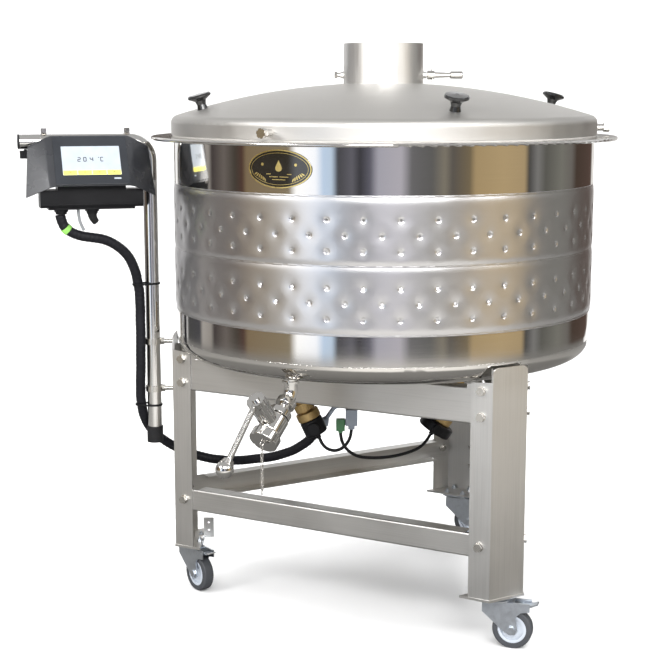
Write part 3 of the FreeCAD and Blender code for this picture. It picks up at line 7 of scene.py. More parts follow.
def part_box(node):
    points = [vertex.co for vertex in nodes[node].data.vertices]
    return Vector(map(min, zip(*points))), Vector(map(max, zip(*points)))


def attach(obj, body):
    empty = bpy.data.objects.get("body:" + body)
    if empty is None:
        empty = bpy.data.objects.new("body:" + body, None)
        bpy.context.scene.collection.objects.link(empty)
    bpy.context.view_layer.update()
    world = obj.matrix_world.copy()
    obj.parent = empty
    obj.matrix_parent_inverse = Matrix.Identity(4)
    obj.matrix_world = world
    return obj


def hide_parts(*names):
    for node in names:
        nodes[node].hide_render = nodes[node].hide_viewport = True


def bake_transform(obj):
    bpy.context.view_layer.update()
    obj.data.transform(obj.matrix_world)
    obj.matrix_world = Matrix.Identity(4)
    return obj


# A jacketed brewing kettle on a three-legged wheeled stand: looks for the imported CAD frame.
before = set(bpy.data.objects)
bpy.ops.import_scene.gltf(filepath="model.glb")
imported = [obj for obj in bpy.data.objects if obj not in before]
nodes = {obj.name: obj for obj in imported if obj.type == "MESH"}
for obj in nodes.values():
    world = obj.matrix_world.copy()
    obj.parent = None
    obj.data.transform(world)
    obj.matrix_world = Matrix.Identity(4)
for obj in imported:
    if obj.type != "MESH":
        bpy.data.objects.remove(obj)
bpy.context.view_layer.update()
scene = bpy.context.scene

# ---- places, from the frame -----------------------------------------------------------------------


def middle(node):
    low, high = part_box(node)
    return (Vector(low) + Vector(high)) / 2


AXIS = middle("kettle_shell")
AXIS.z = 0.0
STAND = 0.137                      # underside of the legs above the floor
JACKET_LOW, JACKET_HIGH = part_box("cooling_jacket")
JACKET_R = (JACKET_HIGH[0] - JACKET_LOW[0]) / 2
SCREEN = middle("display_panel")
ARM_YAW = math.radians(15.1)       # the control box's arm, turned out from the row's X axis
ARM = Vector((math.cos(ARM_YAW), math.sin(ARM_YAW), 0))
FACE = Vector((math.sin(ARM_YAW), -math.cos(ARM_YAW), 0))
UP = Vector((0, 0, 1))
PANEL_RUN, PANEL_RISE = 80.0, 126.0    # how far the panel's sheet leans back over its height, in mm
TILT = math.atan2(PANEL_RUN, PANEL_RISE)
FACE_NORMAL = FACE * math.cos(TILT) + UP * math.sin(TILT)
FACE_UP = UP * math.cos(TILT) - FACE * math.sin(TILT)


def radial(degrees):
    a = math.radians(degrees)
    return Vector((math.sin(a), -math.cos(a), 0))


def tangent(degrees):
    a = math.radians(degrees)
    return Vector((math.cos(a), math.sin(a), 0))


# ---- camera ---------------------------------------------------------------------------------------
CAMERA_FROM_AXIS = Vector((-0.209, -3.899, 1.376))
CAMERA_PITCH, CAMERA_YAW = 80.37, -1.14
LENS_MM, SENSOR_MM = 77.9, 36.0
camera = bpy.data.objects.new("camera", bpy.data.cameras.new("camera"))
scene.collection.objects.link(camera)
camera.location = AXIS + CAMERA_FROM_AXIS
camera.rotation_euler = (math.radians(CAMERA_PITCH), 0, math.radians(CAMERA_YAW))
camera.data.lens = LENS_MM
camera.data.sensor_width = SENSOR_MM
scene.camera = camera


# ---- shader helpers -------------------------------------------------------------------------------
def new_material(name):
    material = bpy.data.materials.new(name)
    material.use_nodes = True
    tree = material.node_tree
    return material, tree, tree.nodes["Principled BSDF"]


def add(tree, kind, **values):
    node = tree.nodes.new(kind)
    for key, value in values.items():
        setattr(node, key, value)
    return node


def noise(tree, vector, scale, detail=3.0, roughness=0.55):
    node = add(tree, "ShaderNodeTexNoise")
    node.inputs["Scale"].default_value = scale
    node.inputs["Detail"].default_value = detail
    node.inputs["Roughness"].default_value = roughness
    tree.links.new(vector, node.inputs["Vector"])
    return node.outputs["Fac"]


def ramp(tree, factor, stops):
    node = add(tree, "ShaderNodeValToRGB")
    elements = node.color_ramp.elements
    while len(elements) > len(stops):
        elements.remove(elements[-1])
    while len(elements) < len(stops):
        elements.new(1.0)
    for element, (position, colour) in zip(elements, stops):
        element.position = position
        element.color = (*colour, 1.0)
    tree.links.new(factor, node.inputs["Fac"])
    return node.outputs["Color"]


def spread(tree, factor, low, high, source=(0.3, 0.7)):
    node = add(tree, "ShaderNodeMapRange")
    node.inputs["From Min"].default_value = source[0]
    node.inputs["From Max"].default_value = source[1]
    node.inputs["To Min"].default_value = low
    node.inputs["To Max"].default_value = high
    tree.links.new(factor, node.inputs["Value"])
    return node.outputs["Result"]


def bump(tree, shader, height, strength, distance, below=None):
    node = add(tree, "ShaderNodeBump")
    node.inputs["Strength"].default_value = strength
    node.inputs["Distance"].default_value = distance
    tree.links.new(height, node.inputs["Height"])
    if below is not None:
        tree.links.new(below, node.inputs["Normal"])
    tree.links.new(node.outputs["Normal"], shader.inputs["Normal"])
    return node.outputs["Normal"]


def shade(colour, factor):
    return tuple(min(1.0, c * factor) for c in colour)


def object_space(tree, stretch=(1.0, 1.0, 1.0)):
    coordinates = add(tree, "ShaderNodeTexCoord")
    mapping = add(tree, "ShaderNodeMapping")
    mapping.inputs["Scale"].default_value = stretch
    tree.links.new(coordinates.outputs["Object"], mapping.inputs["Vector"])
    return mapping.outputs["Vector"]


def spun_space(tree):
    """Coordinates that change quickly away from the kettle's axis and slowly round it, as on a spun dome."""
    coordinates = add(tree, "ShaderNodeTexCoord")
    shift = add(tree, "ShaderNodeVectorMath", operation="SUBTRACT")
    shift.inputs[1].default_value = AXIS
    tree.links.new(coordinates.outputs["Object"], shift.inputs[0])
    flat = add(tree, "ShaderNodeVectorMath", operation="MULTIPLY")
    flat.inputs[1].default_value = (1, 1, 0)
    tree.links.new(shift.outputs[0], flat.inputs[0])
    length = add(tree, "ShaderNodeVectorMath", operation="LENGTH")
    tree.links.new(flat.outputs[0], length.inputs[0])
    slow = add(tree, "ShaderNodeVectorMath", operation="SCALE")
    slow.inputs["Scale"].default_value = 0.02
    tree.links.new(flat.outputs[0], slow.inputs[0])
    joined = add(tree, "ShaderNodeCombineXYZ")
    tree.links.new(length.outputs["Value"], joined.inputs["X"])
    both = add(tree, "ShaderNodeVectorMath", operation="ADD")
    tree.links.new(joined.outputs[0], both.inputs[0])
    tree.links.new(slow.outputs[0], both.inputs[1])
    return both.outputs[0]


BRUSH_GRAIN = 0.0006                # heights of the bumps, in metres
PLASTIC_GRAIN = 0.0004
SHEET_RIPPLE = 0.02


def brushed(name, colour, rough, stretch, scale=6.0, grain=0.05, ripple=0.0, wear=0.12, uneven=0.25):
    """Brushed or polished metal: a fine grain, slow patches of polish and, if asked, a slow ripple.

    stretch says how closely the grain's lines lie along each axis, or is "spun" for lines round the kettle.
    """
    material, tree, shader = new_material(name)
    shader.inputs["Metallic"].default_value = 1.0
    space = spun_space(tree) if stretch == "spun" else object_space(tree, stretch)
    fine = noise(tree, space, scale * 40 if stretch == "spun" else scale, 4.0, 0.7)
    slow = noise(tree, object_space(tree), 5.0, 3.0)
    mixed = add(tree, "ShaderNodeMix", data_type="FLOAT")
    mixed.inputs["Factor"].default_value = 0.35
    tree.links.new(fine, mixed.inputs["A"])
    tree.links.new(slow, mixed.inputs["B"])
    value = mixed.outputs["Result"]
    tree.links.new(ramp(tree, value, [(0.25, shade(colour, 1 - wear)), (0.5, colour),
                                      (0.75, shade(colour, 1 + wear * 0.6))]), shader.inputs["Base Color"])
    dull = spread(tree, value, rough * (1 - uneven), rough * (1 + uneven))
    tree.links.new(dull, shader.inputs["Roughness"])
    normal = bump(tree, shader, fine, grain, BRUSH_GRAIN)
    if ripple:
        wide = noise(tree, object_space(tree, (1, 1, 0.5)), 3.2, 1.0)
        bump(tree, shader, wide, ripple, SHEET_RIPPLE, normal)
    return material


def moulded(name, colour, rough, grain=0.15, scale=420.0, mottle=0.12, coat=0.0, gloss=0.5):
    """Plastic or rubber with a fine grain and slight differences in colour and gloss."""
    material, tree, shader = new_material(name)
    space = object_space(tree)
    fine = noise(tree, space, scale, 3.0)
    slow = noise(tree, space, 14.0, 3.0)
    tree.links.new(ramp(tree, slow, [(0.3, shade(colour, 1 - mottle)), (0.7, shade(colour, 1 + mottle))]),
                   shader.inputs["Base Color"])
    tree.links.new(spread(tree, slow, rough * 0.85, min(1.0, rough * 1.15)), shader.inputs["Roughness"])
    shader.inputs["Specular IOR Level"].default_value = gloss
    if coat:
        shader.inputs["Coat Weight"].default_value = coat
        shader.inputs["Coat Roughness"].default_value = 0.08
    bump(tree, shader, fine, grain, PLASTIC_GRAIN)
    return material


ROUND = (3.0, 3.0, 260.0)           # fine lines round the kettle
UPRIGHT = (240.0, 240.0, 3.0)       # fine lines up and down
ALL_WAYS = (30.0, 30.0, 30.0)
BROAD_ROUND = (6.0, 6.0, 26.0)      # broad, soft lines round the kettle
polished = brushed("polished_sheet", (0.66, 0.64, 0.61), 0.07, ROUND,
                   scale=2.0, grain=0.005, ripple=0.04, wear=0.04)
satin_jacket = brushed("satin_jacket", (0.67, 0.66, 0.66), 0.31, BROAD_ROUND,
                       scale=3.0, grain=0.002, wear=0.03, uneven=0.05)
satin_lid = brushed("satin_lid", (0.58, 0.565, 0.54), 0.50, "spun", grain=0.04, wear=0.06)
satin_flue = brushed("satin_flue", (0.74, 0.73, 0.71), 0.44, UPRIGHT, scale=1.6, grain=0.03, wear=0.08)
bright = brushed("bright_steel", (0.66, 0.64, 0.61), 0.14, ALL_WAYS, scale=1.5, grain=0.02, wear=0.08)
chrome = brushed("polished_fittings", (0.68, 0.665, 0.64), 0.07, ALL_WAYS, scale=1.5, grain=0.01, wear=0.05)
legs = brushed("brushed_legs", (0.70, 0.69, 0.67), 0.42, UPRIGHT, scale=1.4, grain=0.06, wear=0.14)
rails = brushed("brushed_rails", (0.66, 0.65, 0.63), 0.42, ROUND, scale=1.4, grain=0.06, wear=0.14)
post_steel = brushed("polished_tube", (0.70, 0.69, 0.67), 0.13, UPRIGHT, scale=1.0, grain=0.02, wear=0.06)
zinc = brushed("blue_zinc", (0.72, 0.76, 0.81), 0.40, ALL_WAYS, scale=3.0, wear=0.16)
bolts = brushed("bolt_zinc", (0.66, 0.64, 0.60), 0.24, ALL_WAYS, scale=4.0, wear=0.16)
brass = brushed("cast_brass", (0.62, 0.44, 0.20), 0.42, ALL_WAYS, scale=5.0, grain=0.25, wear=0.25)
inner = brushed("inner_steel", (0.60, 0.60, 0.59), 0.30, ROUND, scale=1.4, grain=0.04, wear=0.10)
hood_paint = moulded("hood_paint", (0.022, 0.023, 0.026), 0.27,
                     grain=0.05, scale=900.0, mottle=0.08, coat=0.3, gloss=0.4)
black_plastic = moulded("black_plastic", (0.006, 0.006, 0.007), 0.38,
                        grain=0.12, scale=500.0, mottle=0.2, gloss=0.22)
knob_black = moulded("knob_black", (0.012, 0.012, 0.012), 0.16,
                     grain=0.03, scale=300.0, mottle=0.2, coat=0.4)
black_rubber = moulded("black_rubber", (0.012, 0.012, 0.013), 0.62,
                       grain=0.2, scale=700.0, mottle=0.2, gloss=0.25)
sleeve_black = moulded("sleeve_black", (0.007, 0.007, 0.010), 0.55,
                       grain=0.3, scale=900.0, mottle=0.25, gloss=0.25)
tyre_grey = moulded("tyre_grey", (0.050, 0.053, 0.060), 0.55, grain=0.12, scale=300.0, mottle=0.15)
wheel_grey = moulded("wheel_grey", (0.50, 0.54, 0.60), 0.34, grain=0.06, scale=200.0, mottle=0.10)
box_grey = moulded("box_grey", (0.24, 0.27, 0.32), 0.45, grain=0.08, scale=300.0)
cable_grey = moulded("cable_grey", (0.22, 0.23, 0.24), 0.45, grain=0.05, scale=300.0, mottle=0.10)
plug_green = moulded("plug_green", (0.05, 0.19, 0.07), 0.45, grain=0.08, scale=300.0, mottle=0.15)
tag_green = moulded("tag_green", (0.22, 0.50, 0.09), 0.40, grain=0.05, scale=300.0, mottle=0.10)
silicone = moulded("silicone", (0.62, 0.60, 0.57), 0.50, grain=0.05, scale=300.0, mottle=0.08)
badge_black = moulded("badge_black", (0.006, 0.006, 0.006), 0.10,
                      grain=0.01, scale=200.0, mottle=0.1, coat=0.8)
bezel_grey = moulded("bezel_grey", (0.020, 0.022, 0.026), 0.22,
                     grain=0.02, scale=300.0, mottle=0.08, coat=0.2, gloss=0.3)
button_yellow = moulded("button_yellow", (0.86, 0.78, 0.10), 0.35, grain=0.02, scale=300.0, mottle=0.06)
ink = moulded("ink", (0.02, 0.02, 0.03), 0.5, grain=0.02, scale=300.0, mottle=0.1)
gold = brushed("gold_enamel", (0.74, 0.60, 0.24), 0.30, ALL_WAYS, scale=4.0)
SCREEN_GLOW = 0.45


def screen_glow():
    material, tree, shader = new_material("screen")
    tone = noise(tree, object_space(tree), 40.0, 2.0)
    colour = ramp(tree, tone, [(0.3, (0.27, 0.30, 0.335)), (0.7, (0.30, 0.33, 0.365))])
    tree.links.new(colour, shader.inputs["Base Color"])
    tree.links.new(colour, shader.inputs["Emission Color"])
    shader.inputs["Emission Strength"].default_value = SCREEN_GLOW
    shader.inputs["Roughness"].default_value = 0.2
    return material


screen_white = screen_glow()

LOOKS = {
    "kettle_shell": polished, "rim_ring": bright, "maker_badge": badge_black, "cooling_jacket": satin_jacket,
    "malt_pipe": inner, "heating_coils": inner, "hold_down_bar": inner, "wing_nut": bright,
    "temperature_probe": inner, "lid": satin_lid, "lid_gasket": silicone, "flue": satin_flue,
    "damper": bright, "lid_knobs": knob_black,
    "lid_screw_1": bright, "lid_screw_2": bright, "lid_screw_3": bright,
    "leg_left": legs, "leg_right_front": legs, "leg_right_rear": legs, "top_rail_front": rails,
    "top_rail_rear": rails, "top_rail_right": rails, "lower_rails": rails, "frame_bolts": bolts,
    "caster_plates": zinc, "drain_pipe": chrome, "drain_valve_body": chrome, "drain_lever": chrome,
    "drain_cap": chrome, "cap_chain": bright, "pump_motors": black_plastic, "pump_housings": brass,
    "connector_box": box_grey, "signal_plug": plug_green, "cable_ties": black_plastic,
    "control_post": post_steel, "post_caps": black_rubber, "post_standoffs": bolts, "arm_clamps": bright,
    "arm_knob": black_plastic, "control_housing": black_plastic, "control_hood": hood_paint,
    "display_panel": bezel_grey,
}
for corner in ("left", "right_front", "right_rear"):
    LOOKS["caster_fork_" + corner] = zinc
    LOOKS["tyre_" + corner] = tyre_grey
    LOOKS["wheel_hub_" + corner] = wheel_grey
    LOOKS["brake_pedal_" + corner] = zinc
for name, material in LOOKS.items():
    node = nodes[name]
    for place in node.material_slots:
        place.material = material


# ---- mesh helpers ---------------------------------------------------------------------------------
TILTING = "between the frame and the control box"


def make(name, mesh, material, body, smooth=True):
    """A finished mesh as a piece on its body, or, for one between the frame and the control box, with its
    place baked into its points.
    """
    obj = bpy.data.objects.new(name, mesh)
    scene.collection.objects.link(obj)
    mesh.materials.append(material)
    for polygon in mesh.polygons:
        polygon.use_smooth = smooth
    if body == TILTING:
        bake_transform(obj)
    else:
        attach(obj, body)
    return obj


def mesh_from(name, points, faces):
    mesh = bpy.data.meshes.new(name)
    mesh.from_pydata([tuple(p) for p in points], [], faces)
    mesh.update()
    return mesh


def box_mesh(name, centre, x_axis, y_axis, z_axis, size, bevel=0.0):
    """A block with its own axes, its edges rounded by bevel."""
    shape = bmesh.new()
    bmesh.ops.create_cube(shape, size=1.0)
    bmesh.ops.scale(shape, vec=size, verts=shape.verts)
    if bevel:
        bmesh.ops.bevel(shape, geom=shape.edges[:], offset=bevel, segments=3, profile=0.5, affect="EDGES")
    turn = Matrix((x_axis, y_axis, z_axis)).transposed().to_4x4()
    bmesh.ops.transform(shape, matrix=Matrix.Translation(centre) @ turn, verts=shape.verts)
    mesh = bpy.data.meshes.new(name)
    shape.to_mesh(mesh)
    shape.free()
    return mesh


def ring_surface(name, rings, closed_rows=False, caps=False):
    """A surface through rings of points; every ring is closed."""
    points = [p for ring in rings for p in ring]
    count = len(rings[0])
    faces = []
    rows = len(rings) if closed_rows else len(rings) - 1
    for i in range(rows):
        for j in range(count):
            a = i * count + j
            b = i * count + (j + 1) % count
            c = ((i + 1) % len(rings)) * count + (j + 1) % count
            d = ((i + 1) % len(rings)) * count + j
            faces.append((a, b, c, d))
    if caps:
        faces.append(tuple(reversed(range(count))))
        faces.append(tuple((len(rings) - 1) * count + j for j in range(count)))
    return mesh_from(name, points, faces)


# ---- cords ----------------------------------------------------------------------------------------
ROW_SHIFT = AXIS * 1000.0


def millimetres(points):
    return [((x + ROW_SHIFT.x) / 1000, (y + ROW_SHIFT.y) / 1000, z / 1000) for x, y, z in points]


def spline_curve(name, route):
    curve = bpy.data.curves.new(name, "CURVE")
    curve.dimensions = "3D"
    curve.resolution_u = 12
    spline = curve.splines.new("NURBS")
    spline.points.add(len(route) - 1)
    for point, place in zip(spline.points, route):
        point.co = (*place, 1.0)
    spline.order_u = 3
    spline.use_endpoint_u = True
    return curve


def spline_line(name, route):
    """The smooth line of a route, as points, read from its spline."""
    curve = spline_curve(name + "_line", route)
    holder = bpy.data.objects.new(name + "_line", curve)
    scene.collection.objects.link(holder)
    bpy.context.view_layer.update()
    mesh = bpy.data.meshes.new_from_object(holder)
    points = [v.co.copy() for v in mesh.vertices]
    bpy.data.meshes.remove(mesh)
    bpy.data.objects.remove(holder)
    bpy.data.curves.remove(curve)
    return points


def length_of(points):
    return sum((b - a).length for a, b in zip(points, points[1:]))


def even_steps(points, step):
    """The same line with evenly spaced points."""
    total = length_of(points)
    count = max(2, round(total / step))
    result = [points[0].copy()]
    target = total / count
    walked = 0.0
    for a, b in zip(points, points[1:]):
        gap = (b - a).length
        while walked + gap >= target * len(result) and len(result) < count:
            result.append(a.lerp(b, (target * len(result) - walked) / gap))
        walked += gap
    result.append(points[-1].copy())
    return result


def tube_along(name, points, radius_at, sides):
    """A closed tube along a line; radius_at gives the radius at a point's number and side."""
    turns = [2 * math.pi * j / sides for j in range(sides)]
    rings = []
    normal = Vector((0, 1, 0))
    for k, p in enumerate(points):
        before = points[max(0, k - 1)]
        after = points[min(len(points) - 1, k + 1)]
        way = (after - before).normalized()
        normal = (normal - way * normal.dot(way)).normalized()
        side = way.cross(normal)
        rings.append([p + (normal * math.cos(t) + side * math.sin(t)) * radius_at(k, j)
                      for j, t in enumerate(turns)])
    return ring_surface(name, rings, caps=True)


# Routes are in mm, x and y from the kettle's axis and z from the floor.
LOOM_ROUTE = millimetres([
    (-848, -118, 1051.5), (-846, -117, 1034), (-833, -111, 1012), (-808, -102, 997), (-774, -90, 990),
    (-736, -74, 982), (-702, -55, 960), (-677, -38, 926), (-663, -26, 882), (-657, -20, 832),
    (-656, -19.5, 778), (-657, -19, 722), (-657.5, -19.5, 664), (-660, -16, 606), (-662.5, -6, 552),
    (-661, 10, 502), (-651, 31, 460), (-629, 56, 421), (-594, 80, 388), (-552, 99, 362),
    (-508, 107, 344), (-460, 103, 335), (-412, 88, 336), (-366, 66, 345), (-322, 40, 356),
    (-280, 16, 370), (-241, -6, 390), (-208, -24, 416), (-181, -37, 446), (-161, -45, 477)])
LOOM_D = 0.027
SIGNAL_LEAD_D = 0.008
PUMP_LEAD_D = 0.009
LOOM_STEP = 0.0016
LEAD_STEP = 0.003
loom_line = even_steps(spline_line("loom", LOOM_ROUTE), LOOM_STEP)


def loom_radius(k, j):
    """The braid: crossing diagonal strands that stand a little proud."""
    strands = math.sin(0.42 * k + j * math.pi / 3) * math.sin(0.42 * k - j * math.pi / 3)
    creases = math.sin(0.11 * k + 2 * math.sin(0.031 * k)) * math.sin(0.047 * k + j * math.pi / 12)
    return LOOM_D / 2 - 0.0005 + 0.0005 * strands + 0.0006 * creases


loom = make("loom_braid", tube_along("loom_braid", loom_line, loom_radius, 24), sleeve_black, TILTING)
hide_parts("loom")


def plain_cord(name, node, route, d, material, body="frame"):
    line = even_steps(spline_line(name, route), LEAD_STEP)
    tube = make(name, tube_along(name, line, lambda k, j: d / 2, 12), material, body)
    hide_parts(node)


BOX_X, BOX_Y = -784.3, -43.0        # middle of the control box's arm, from the kettle's axis, in mm
LEAD_ALONG, LEAD_OUT = -34.0, 57.0  # where the lead comes down, along the arm and out from it
lead_x = BOX_X + LEAD_ALONG * ARM.x + LEAD_OUT * FACE.x
lead_y = BOX_Y + LEAD_ALONG * ARM.y + LEAD_OUT * FACE.y
SIGNAL_ROUTE = millimetres([(lead_x, lead_y, 1065.6), (lead_x + 1, lead_y, 1046), (lead_x + 5, lead_y, 1027),
                            (lead_x + 13, lead_y + 3, 1010)])
plain_cord("signal_lead_grey", "signal_lead", SIGNAL_ROUTE, SIGNAL_LEAD_D, cable_grey,
           body=TILTING)

PUMP_LEFT_ROUTE = millimetres([
    (-173, -90, 445), (-166, -89, 427), (-151, -84, 412), (-130, -76, 404), (-109, -68, 410),
    (-93, -62, 427), (-86, -60, 447), (-85, -60, 461.6)])
plain_cord("pump_lead_left", "pump_cable_left", PUMP_LEFT_ROUTE, PUMP_LEAD_D, black_rubber)
PUMP_RIGHT_ROUTE = millimetres([
    (-115, -60, 451.4), (-113, -58, 431), (-103, -51, 409), (-86, -38, 389), (-62, -16, 372), (-32, 12, 362),
    (4, 44, 354), (44, 78, 350), (84, 110, 352), (116, 133, 359), (137, 145, 375), (148.8, 149.6, 395.0)])
plain_cord("pump_lead_right", "pump_cable_right", PUMP_RIGHT_ROUTE, PUMP_LEAD_D, black_rubber)


# ---- cooling jacket with its spot welds -------------------------------------------------------------
SPOT_STEP = 9.0                    # degrees from one weld to the next in a row
FIRST_SPOT = 1.4
# heights above the legs' underside; the second number is 1 where a row is shifted by half a step
SPOT_ROWS = ((0.938, 0), (0.901, 1), (0.864, 0), (0.777, 0), (0.740, 1), (0.703, 0))
SEAMS = (0.6655, 0.829, 0.992)
PILLOW = 0.0022                    # how far the sheet swells out between the welds
PILLOW_REACH = 0.0155              # how far from a weld the sheet is still held in
PIT_R = 0.0072
PIT_DEPTH = 0.0009
BEAD_HALF = 0.0013                 # half the width of a weld bead
JACKET_COLUMNS = 2160
AT_SEAM, AT_SPOTS, BETWEEN = 0.0009, 0.0013, 0.004     # the mesh's steps in height
SEAM_BAND, SPOT_BAND = 0.004, 0.011                    # half the heights of the finer stretches
JACKET_EDGE = 0.003                # from the outer seams to the sheet's edges


def stitch(angle, height):
    """Weld bead along the three seams: a line of short lumps."""
    lump = 0.0
    for number, seam in enumerate(SEAMS):
        across = abs(height - seam)
        if across < 0.004:
            turn = math.radians(angle)
            wave = math.sin(turn * 83 + number) + 0.6 * math.sin(turn * 191 + 2 * number)
            lump = max(lump, math.exp(-(across / BEAD_HALF) ** 2) * (0.35 + 0.65 * (wave > -0.2)))
    return lump


def jacket_radius(angle, height):
    """Distance from the axis: pillows held in by round spot welds, with seams at the edges and midway."""
    edge = min(abs(height - seam) for seam in SEAMS)
    swell = 1.0 - math.exp(-((edge / 0.0085) ** 1.4))
    pit = 0.0
    for row, odd in SPOT_ROWS:
        across = height - row
        if abs(across) > 0.06:
            continue
        turn = (angle - FIRST_SPOT - 0.5 * SPOT_STEP * odd + 0.5 * SPOT_STEP) % SPOT_STEP - 0.5 * SPOT_STEP
        distance = math.hypot(math.radians(turn) * JACKET_R, across)
        swell = min(swell, 1.0 - 0.80 * math.exp(-((distance / PILLOW_REACH) ** 1.5)))
        if distance < 0.012:
            ring = math.exp(-(((distance - PIT_R) / BEAD_HALF) ** 2))
            floor = 1.0 / (1.0 + math.exp((distance - PIT_R) / 0.0007))
            pit = max(pit, floor * PIT_DEPTH - ring * 0.0003)
    return JACKET_R - 0.0026 + PILLOW * swell - pit + 0.0007 * stitch(angle, height)


def graded(low, high, step):
    """Even heights from low up to high, without high itself."""
    count = max(1, round((high - low) / step))
    return [low + (high - low) * k / count for k in range(count)]


def jacket_mesh():
    fine = 1.0
    columns = int(JACKET_COLUMNS / fine)
    levels = []
    at = SEAMS[0] - JACKET_EDGE
    stops = [(SEAMS[0] + SEAM_BAND, AT_SEAM)]
    for row, _ in sorted(SPOT_ROWS):
        if row > SEAMS[1] > stops[-1][0]:
            stops += [(SEAMS[1] - SEAM_BAND, BETWEEN), (SEAMS[1] + SEAM_BAND, AT_SEAM)]
        stops += [(row - SPOT_BAND, BETWEEN), (row + SPOT_BAND, AT_SPOTS)]
    stops += [(SEAMS[2] - SEAM_BAND, BETWEEN), (SEAMS[2] + JACKET_EDGE, AT_SEAM)]
    for stop, step in stops:
        levels += graded(at, stop, step * fine)
        at = stop
    levels.append(at)
    rings = []
    for z in levels:
        rings.append([AXIS + radial(a) * jacket_radius(a, z) + UP * (STAND + z)
                      for a in (360.0 * j / columns for j in range(columns))])
    back = JACKET_R - 0.0029
    top, bottom = ([AXIS + radial(360.0 * j / columns) * back + UP * (STAND + z) for j in range(columns)]
                   for z in (levels[-1], levels[0]))
    return ring_surface("dimpled_jacket", [bottom] + rings + [top], closed_rows=True)


jacket = make("dimpled_jacket", jacket_mesh(), satin_jacket, "frame")
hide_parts("cooling_jacket")


# ---- weld line where the wall meets the dished bottom ------------------------------------------------
WELD_Z = STAND + 0.589
WALL_OUT = JACKET_R - 0.003


def weld_line(name, height, radius, bead):
    """A fine bead of weld right round the kettle."""
    rings = []
    for k in range(720):
        size = bead * (0.8 + 0.25 * math.sin(2.1 * k) + 0.2 * math.sin(0.77 * k))
        out = radial(0.5 * k)
        rings.append([AXIS + out * (radius - 0.0004 + size * math.cos(t)) + UP * (height + size * math.sin(t))
                      for t in (2 * math.pi * j / 8 for j in range(8))])
    make(name, ring_surface(name, rings, closed_rows=True), bright, "frame")


weld_line("bottom_weld", WELD_Z, WALL_OUT, 0.0010)


# ---- control box hood with rounded folds ---------------------------------------------------------------
POST_AT = Vector((-0.625, 0, 0))    # the post, from the kettle's axis
BOX_ALONG = 0.165                   # from the post to the middle of the box, along the arm
BOX_MID = AXIS + POST_AT - ARM * BOX_ALONG
# corners: along the arm from the box's middle, out from the arm, height above the floor
HOOD_BACK = [(-0.156, 0.024, 1.237), (0.156, 0.024, 1.237), (0.168, 0.072, 1.099), (-0.168, 0.072, 1.099)]
HOOD_FRONT = [(-0.102, 0.0377, 1.2628), (0.102, 0.0377, 1.2628),
              (0.102, 0.122, 1.130), (-0.102, 0.122, 1.130)]
HOOD_FOLD = 0.014                   # width of a rounded fold
HOOD_SHEET = 0.0020


def box_point(along, out, z):
    return BOX_MID + ARM * along + FACE * out + UP * z


def hood_mesh():
    shape = bmesh.new()
    front = [shape.verts.new(box_point(*p)) for p in HOOD_FRONT]
    back = [shape.verts.new(box_point(*p)) for p in HOOD_BACK]
    faces = [shape.faces.new(front)]
    for k in range(4):
        if k != 2:                                  # open below
            faces.append(shape.faces.new((front[k], back[k], back[(k + 1) % 4], front[(k + 1) % 4])))
    bmesh.ops.recalc_face_normals(shape, faces=shape.faces)
    if faces[0].normal.dot(FACE_NORMAL) < 0:
        bmesh.ops.reverse_faces(shape, faces=shape.faces)
    folds = [e for e in shape.edges if len(e.link_faces) == 2]
    bmesh.ops.bevel(shape, geom=folds, offset=HOOD_FOLD, segments=10, profile=0.5, affect="EDGES")
    shape.normal_update()
    bmesh.ops.solidify(shape, geom=shape.faces[:], thickness=HOOD_SHEET)
    mesh = bpy.data.meshes.new("hood_sheet")
    shape.to_mesh(mesh)
    shape.free()
    return mesh


hood = make("hood_sheet", hood_mesh(), hood_paint, "control_box")
hood.data.set_sharp_from_angle(angle=math.radians(25))
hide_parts("control_hood")


# ---- drain lever's knurled rod -------------------------------------------------------------------------
DRAIN_AZIMUTH = -35.0
DIP = math.radians(39.0)
FLOW = radial(DRAIN_AZIMUTH) * math.cos(DIP) - UP * math.sin(DIP)
NORMAL = radial(DRAIN_AZIMUTH) * math.sin(DIP) + UP * math.cos(DIP)
STEM_LEAN = math.radians(3.2)
STEM = (NORMAL * math.cos(STEM_LEAN) - tangent(DRAIN_AZIMUTH) * math.sin(STEM_LEAN)).normalized()
CROSS = FLOW.cross(STEM)
CORNER = AXIS + Vector((-0.246, -0.424, STAND + 0.497))    # where the drain pipe turns down
LEVER_OFF = math.radians(7.3)       # the lever's turn away from the flow
REACH = FLOW * math.cos(LEVER_OFF) - CROSS * math.sin(LEVER_OFF)
ROD_START = CORNER + FLOW * 0.098 + STEM * 0.0895
THREAD_FROM, THREAD_LENGTH = 0.034, 0.142
THREAD_STEP = 0.00052


def thread_mesh():
    points = [ROD_START + REACH * (THREAD_FROM + THREAD_STEP * k)
              for k in range(int(THREAD_LENGTH / THREAD_STEP))]
    return tube_along("lever_thread", points, lambda k, j: 0.0066 + 0.0009 * math.sin(k * 0.86), 20)


make("lever_thread", thread_mesh(), chrome, "drain_lever")


# ---- badge ----------------------------------------------------------------------------------------
BADGE_ANGLE = -29.0
badge_middle = middle("maker_badge")
BADGE_R = 0.5592                    # outer face of the badge's plate, from the kettle's axis
EMBLEM_LIFT = 0.0006
BAR_HEIGHT = 0.0016
LEAF_LONG, LEAF_WIDE = 0.0048, 0.0018
DOT_R = 0.0035


def on_badge(u, v, lift):
    angle = BADGE_ANGLE + math.degrees(u / BADGE_R)
    return AXIS + radial(angle) * (BADGE_R + lift) + UP * (badge_middle.z + v)


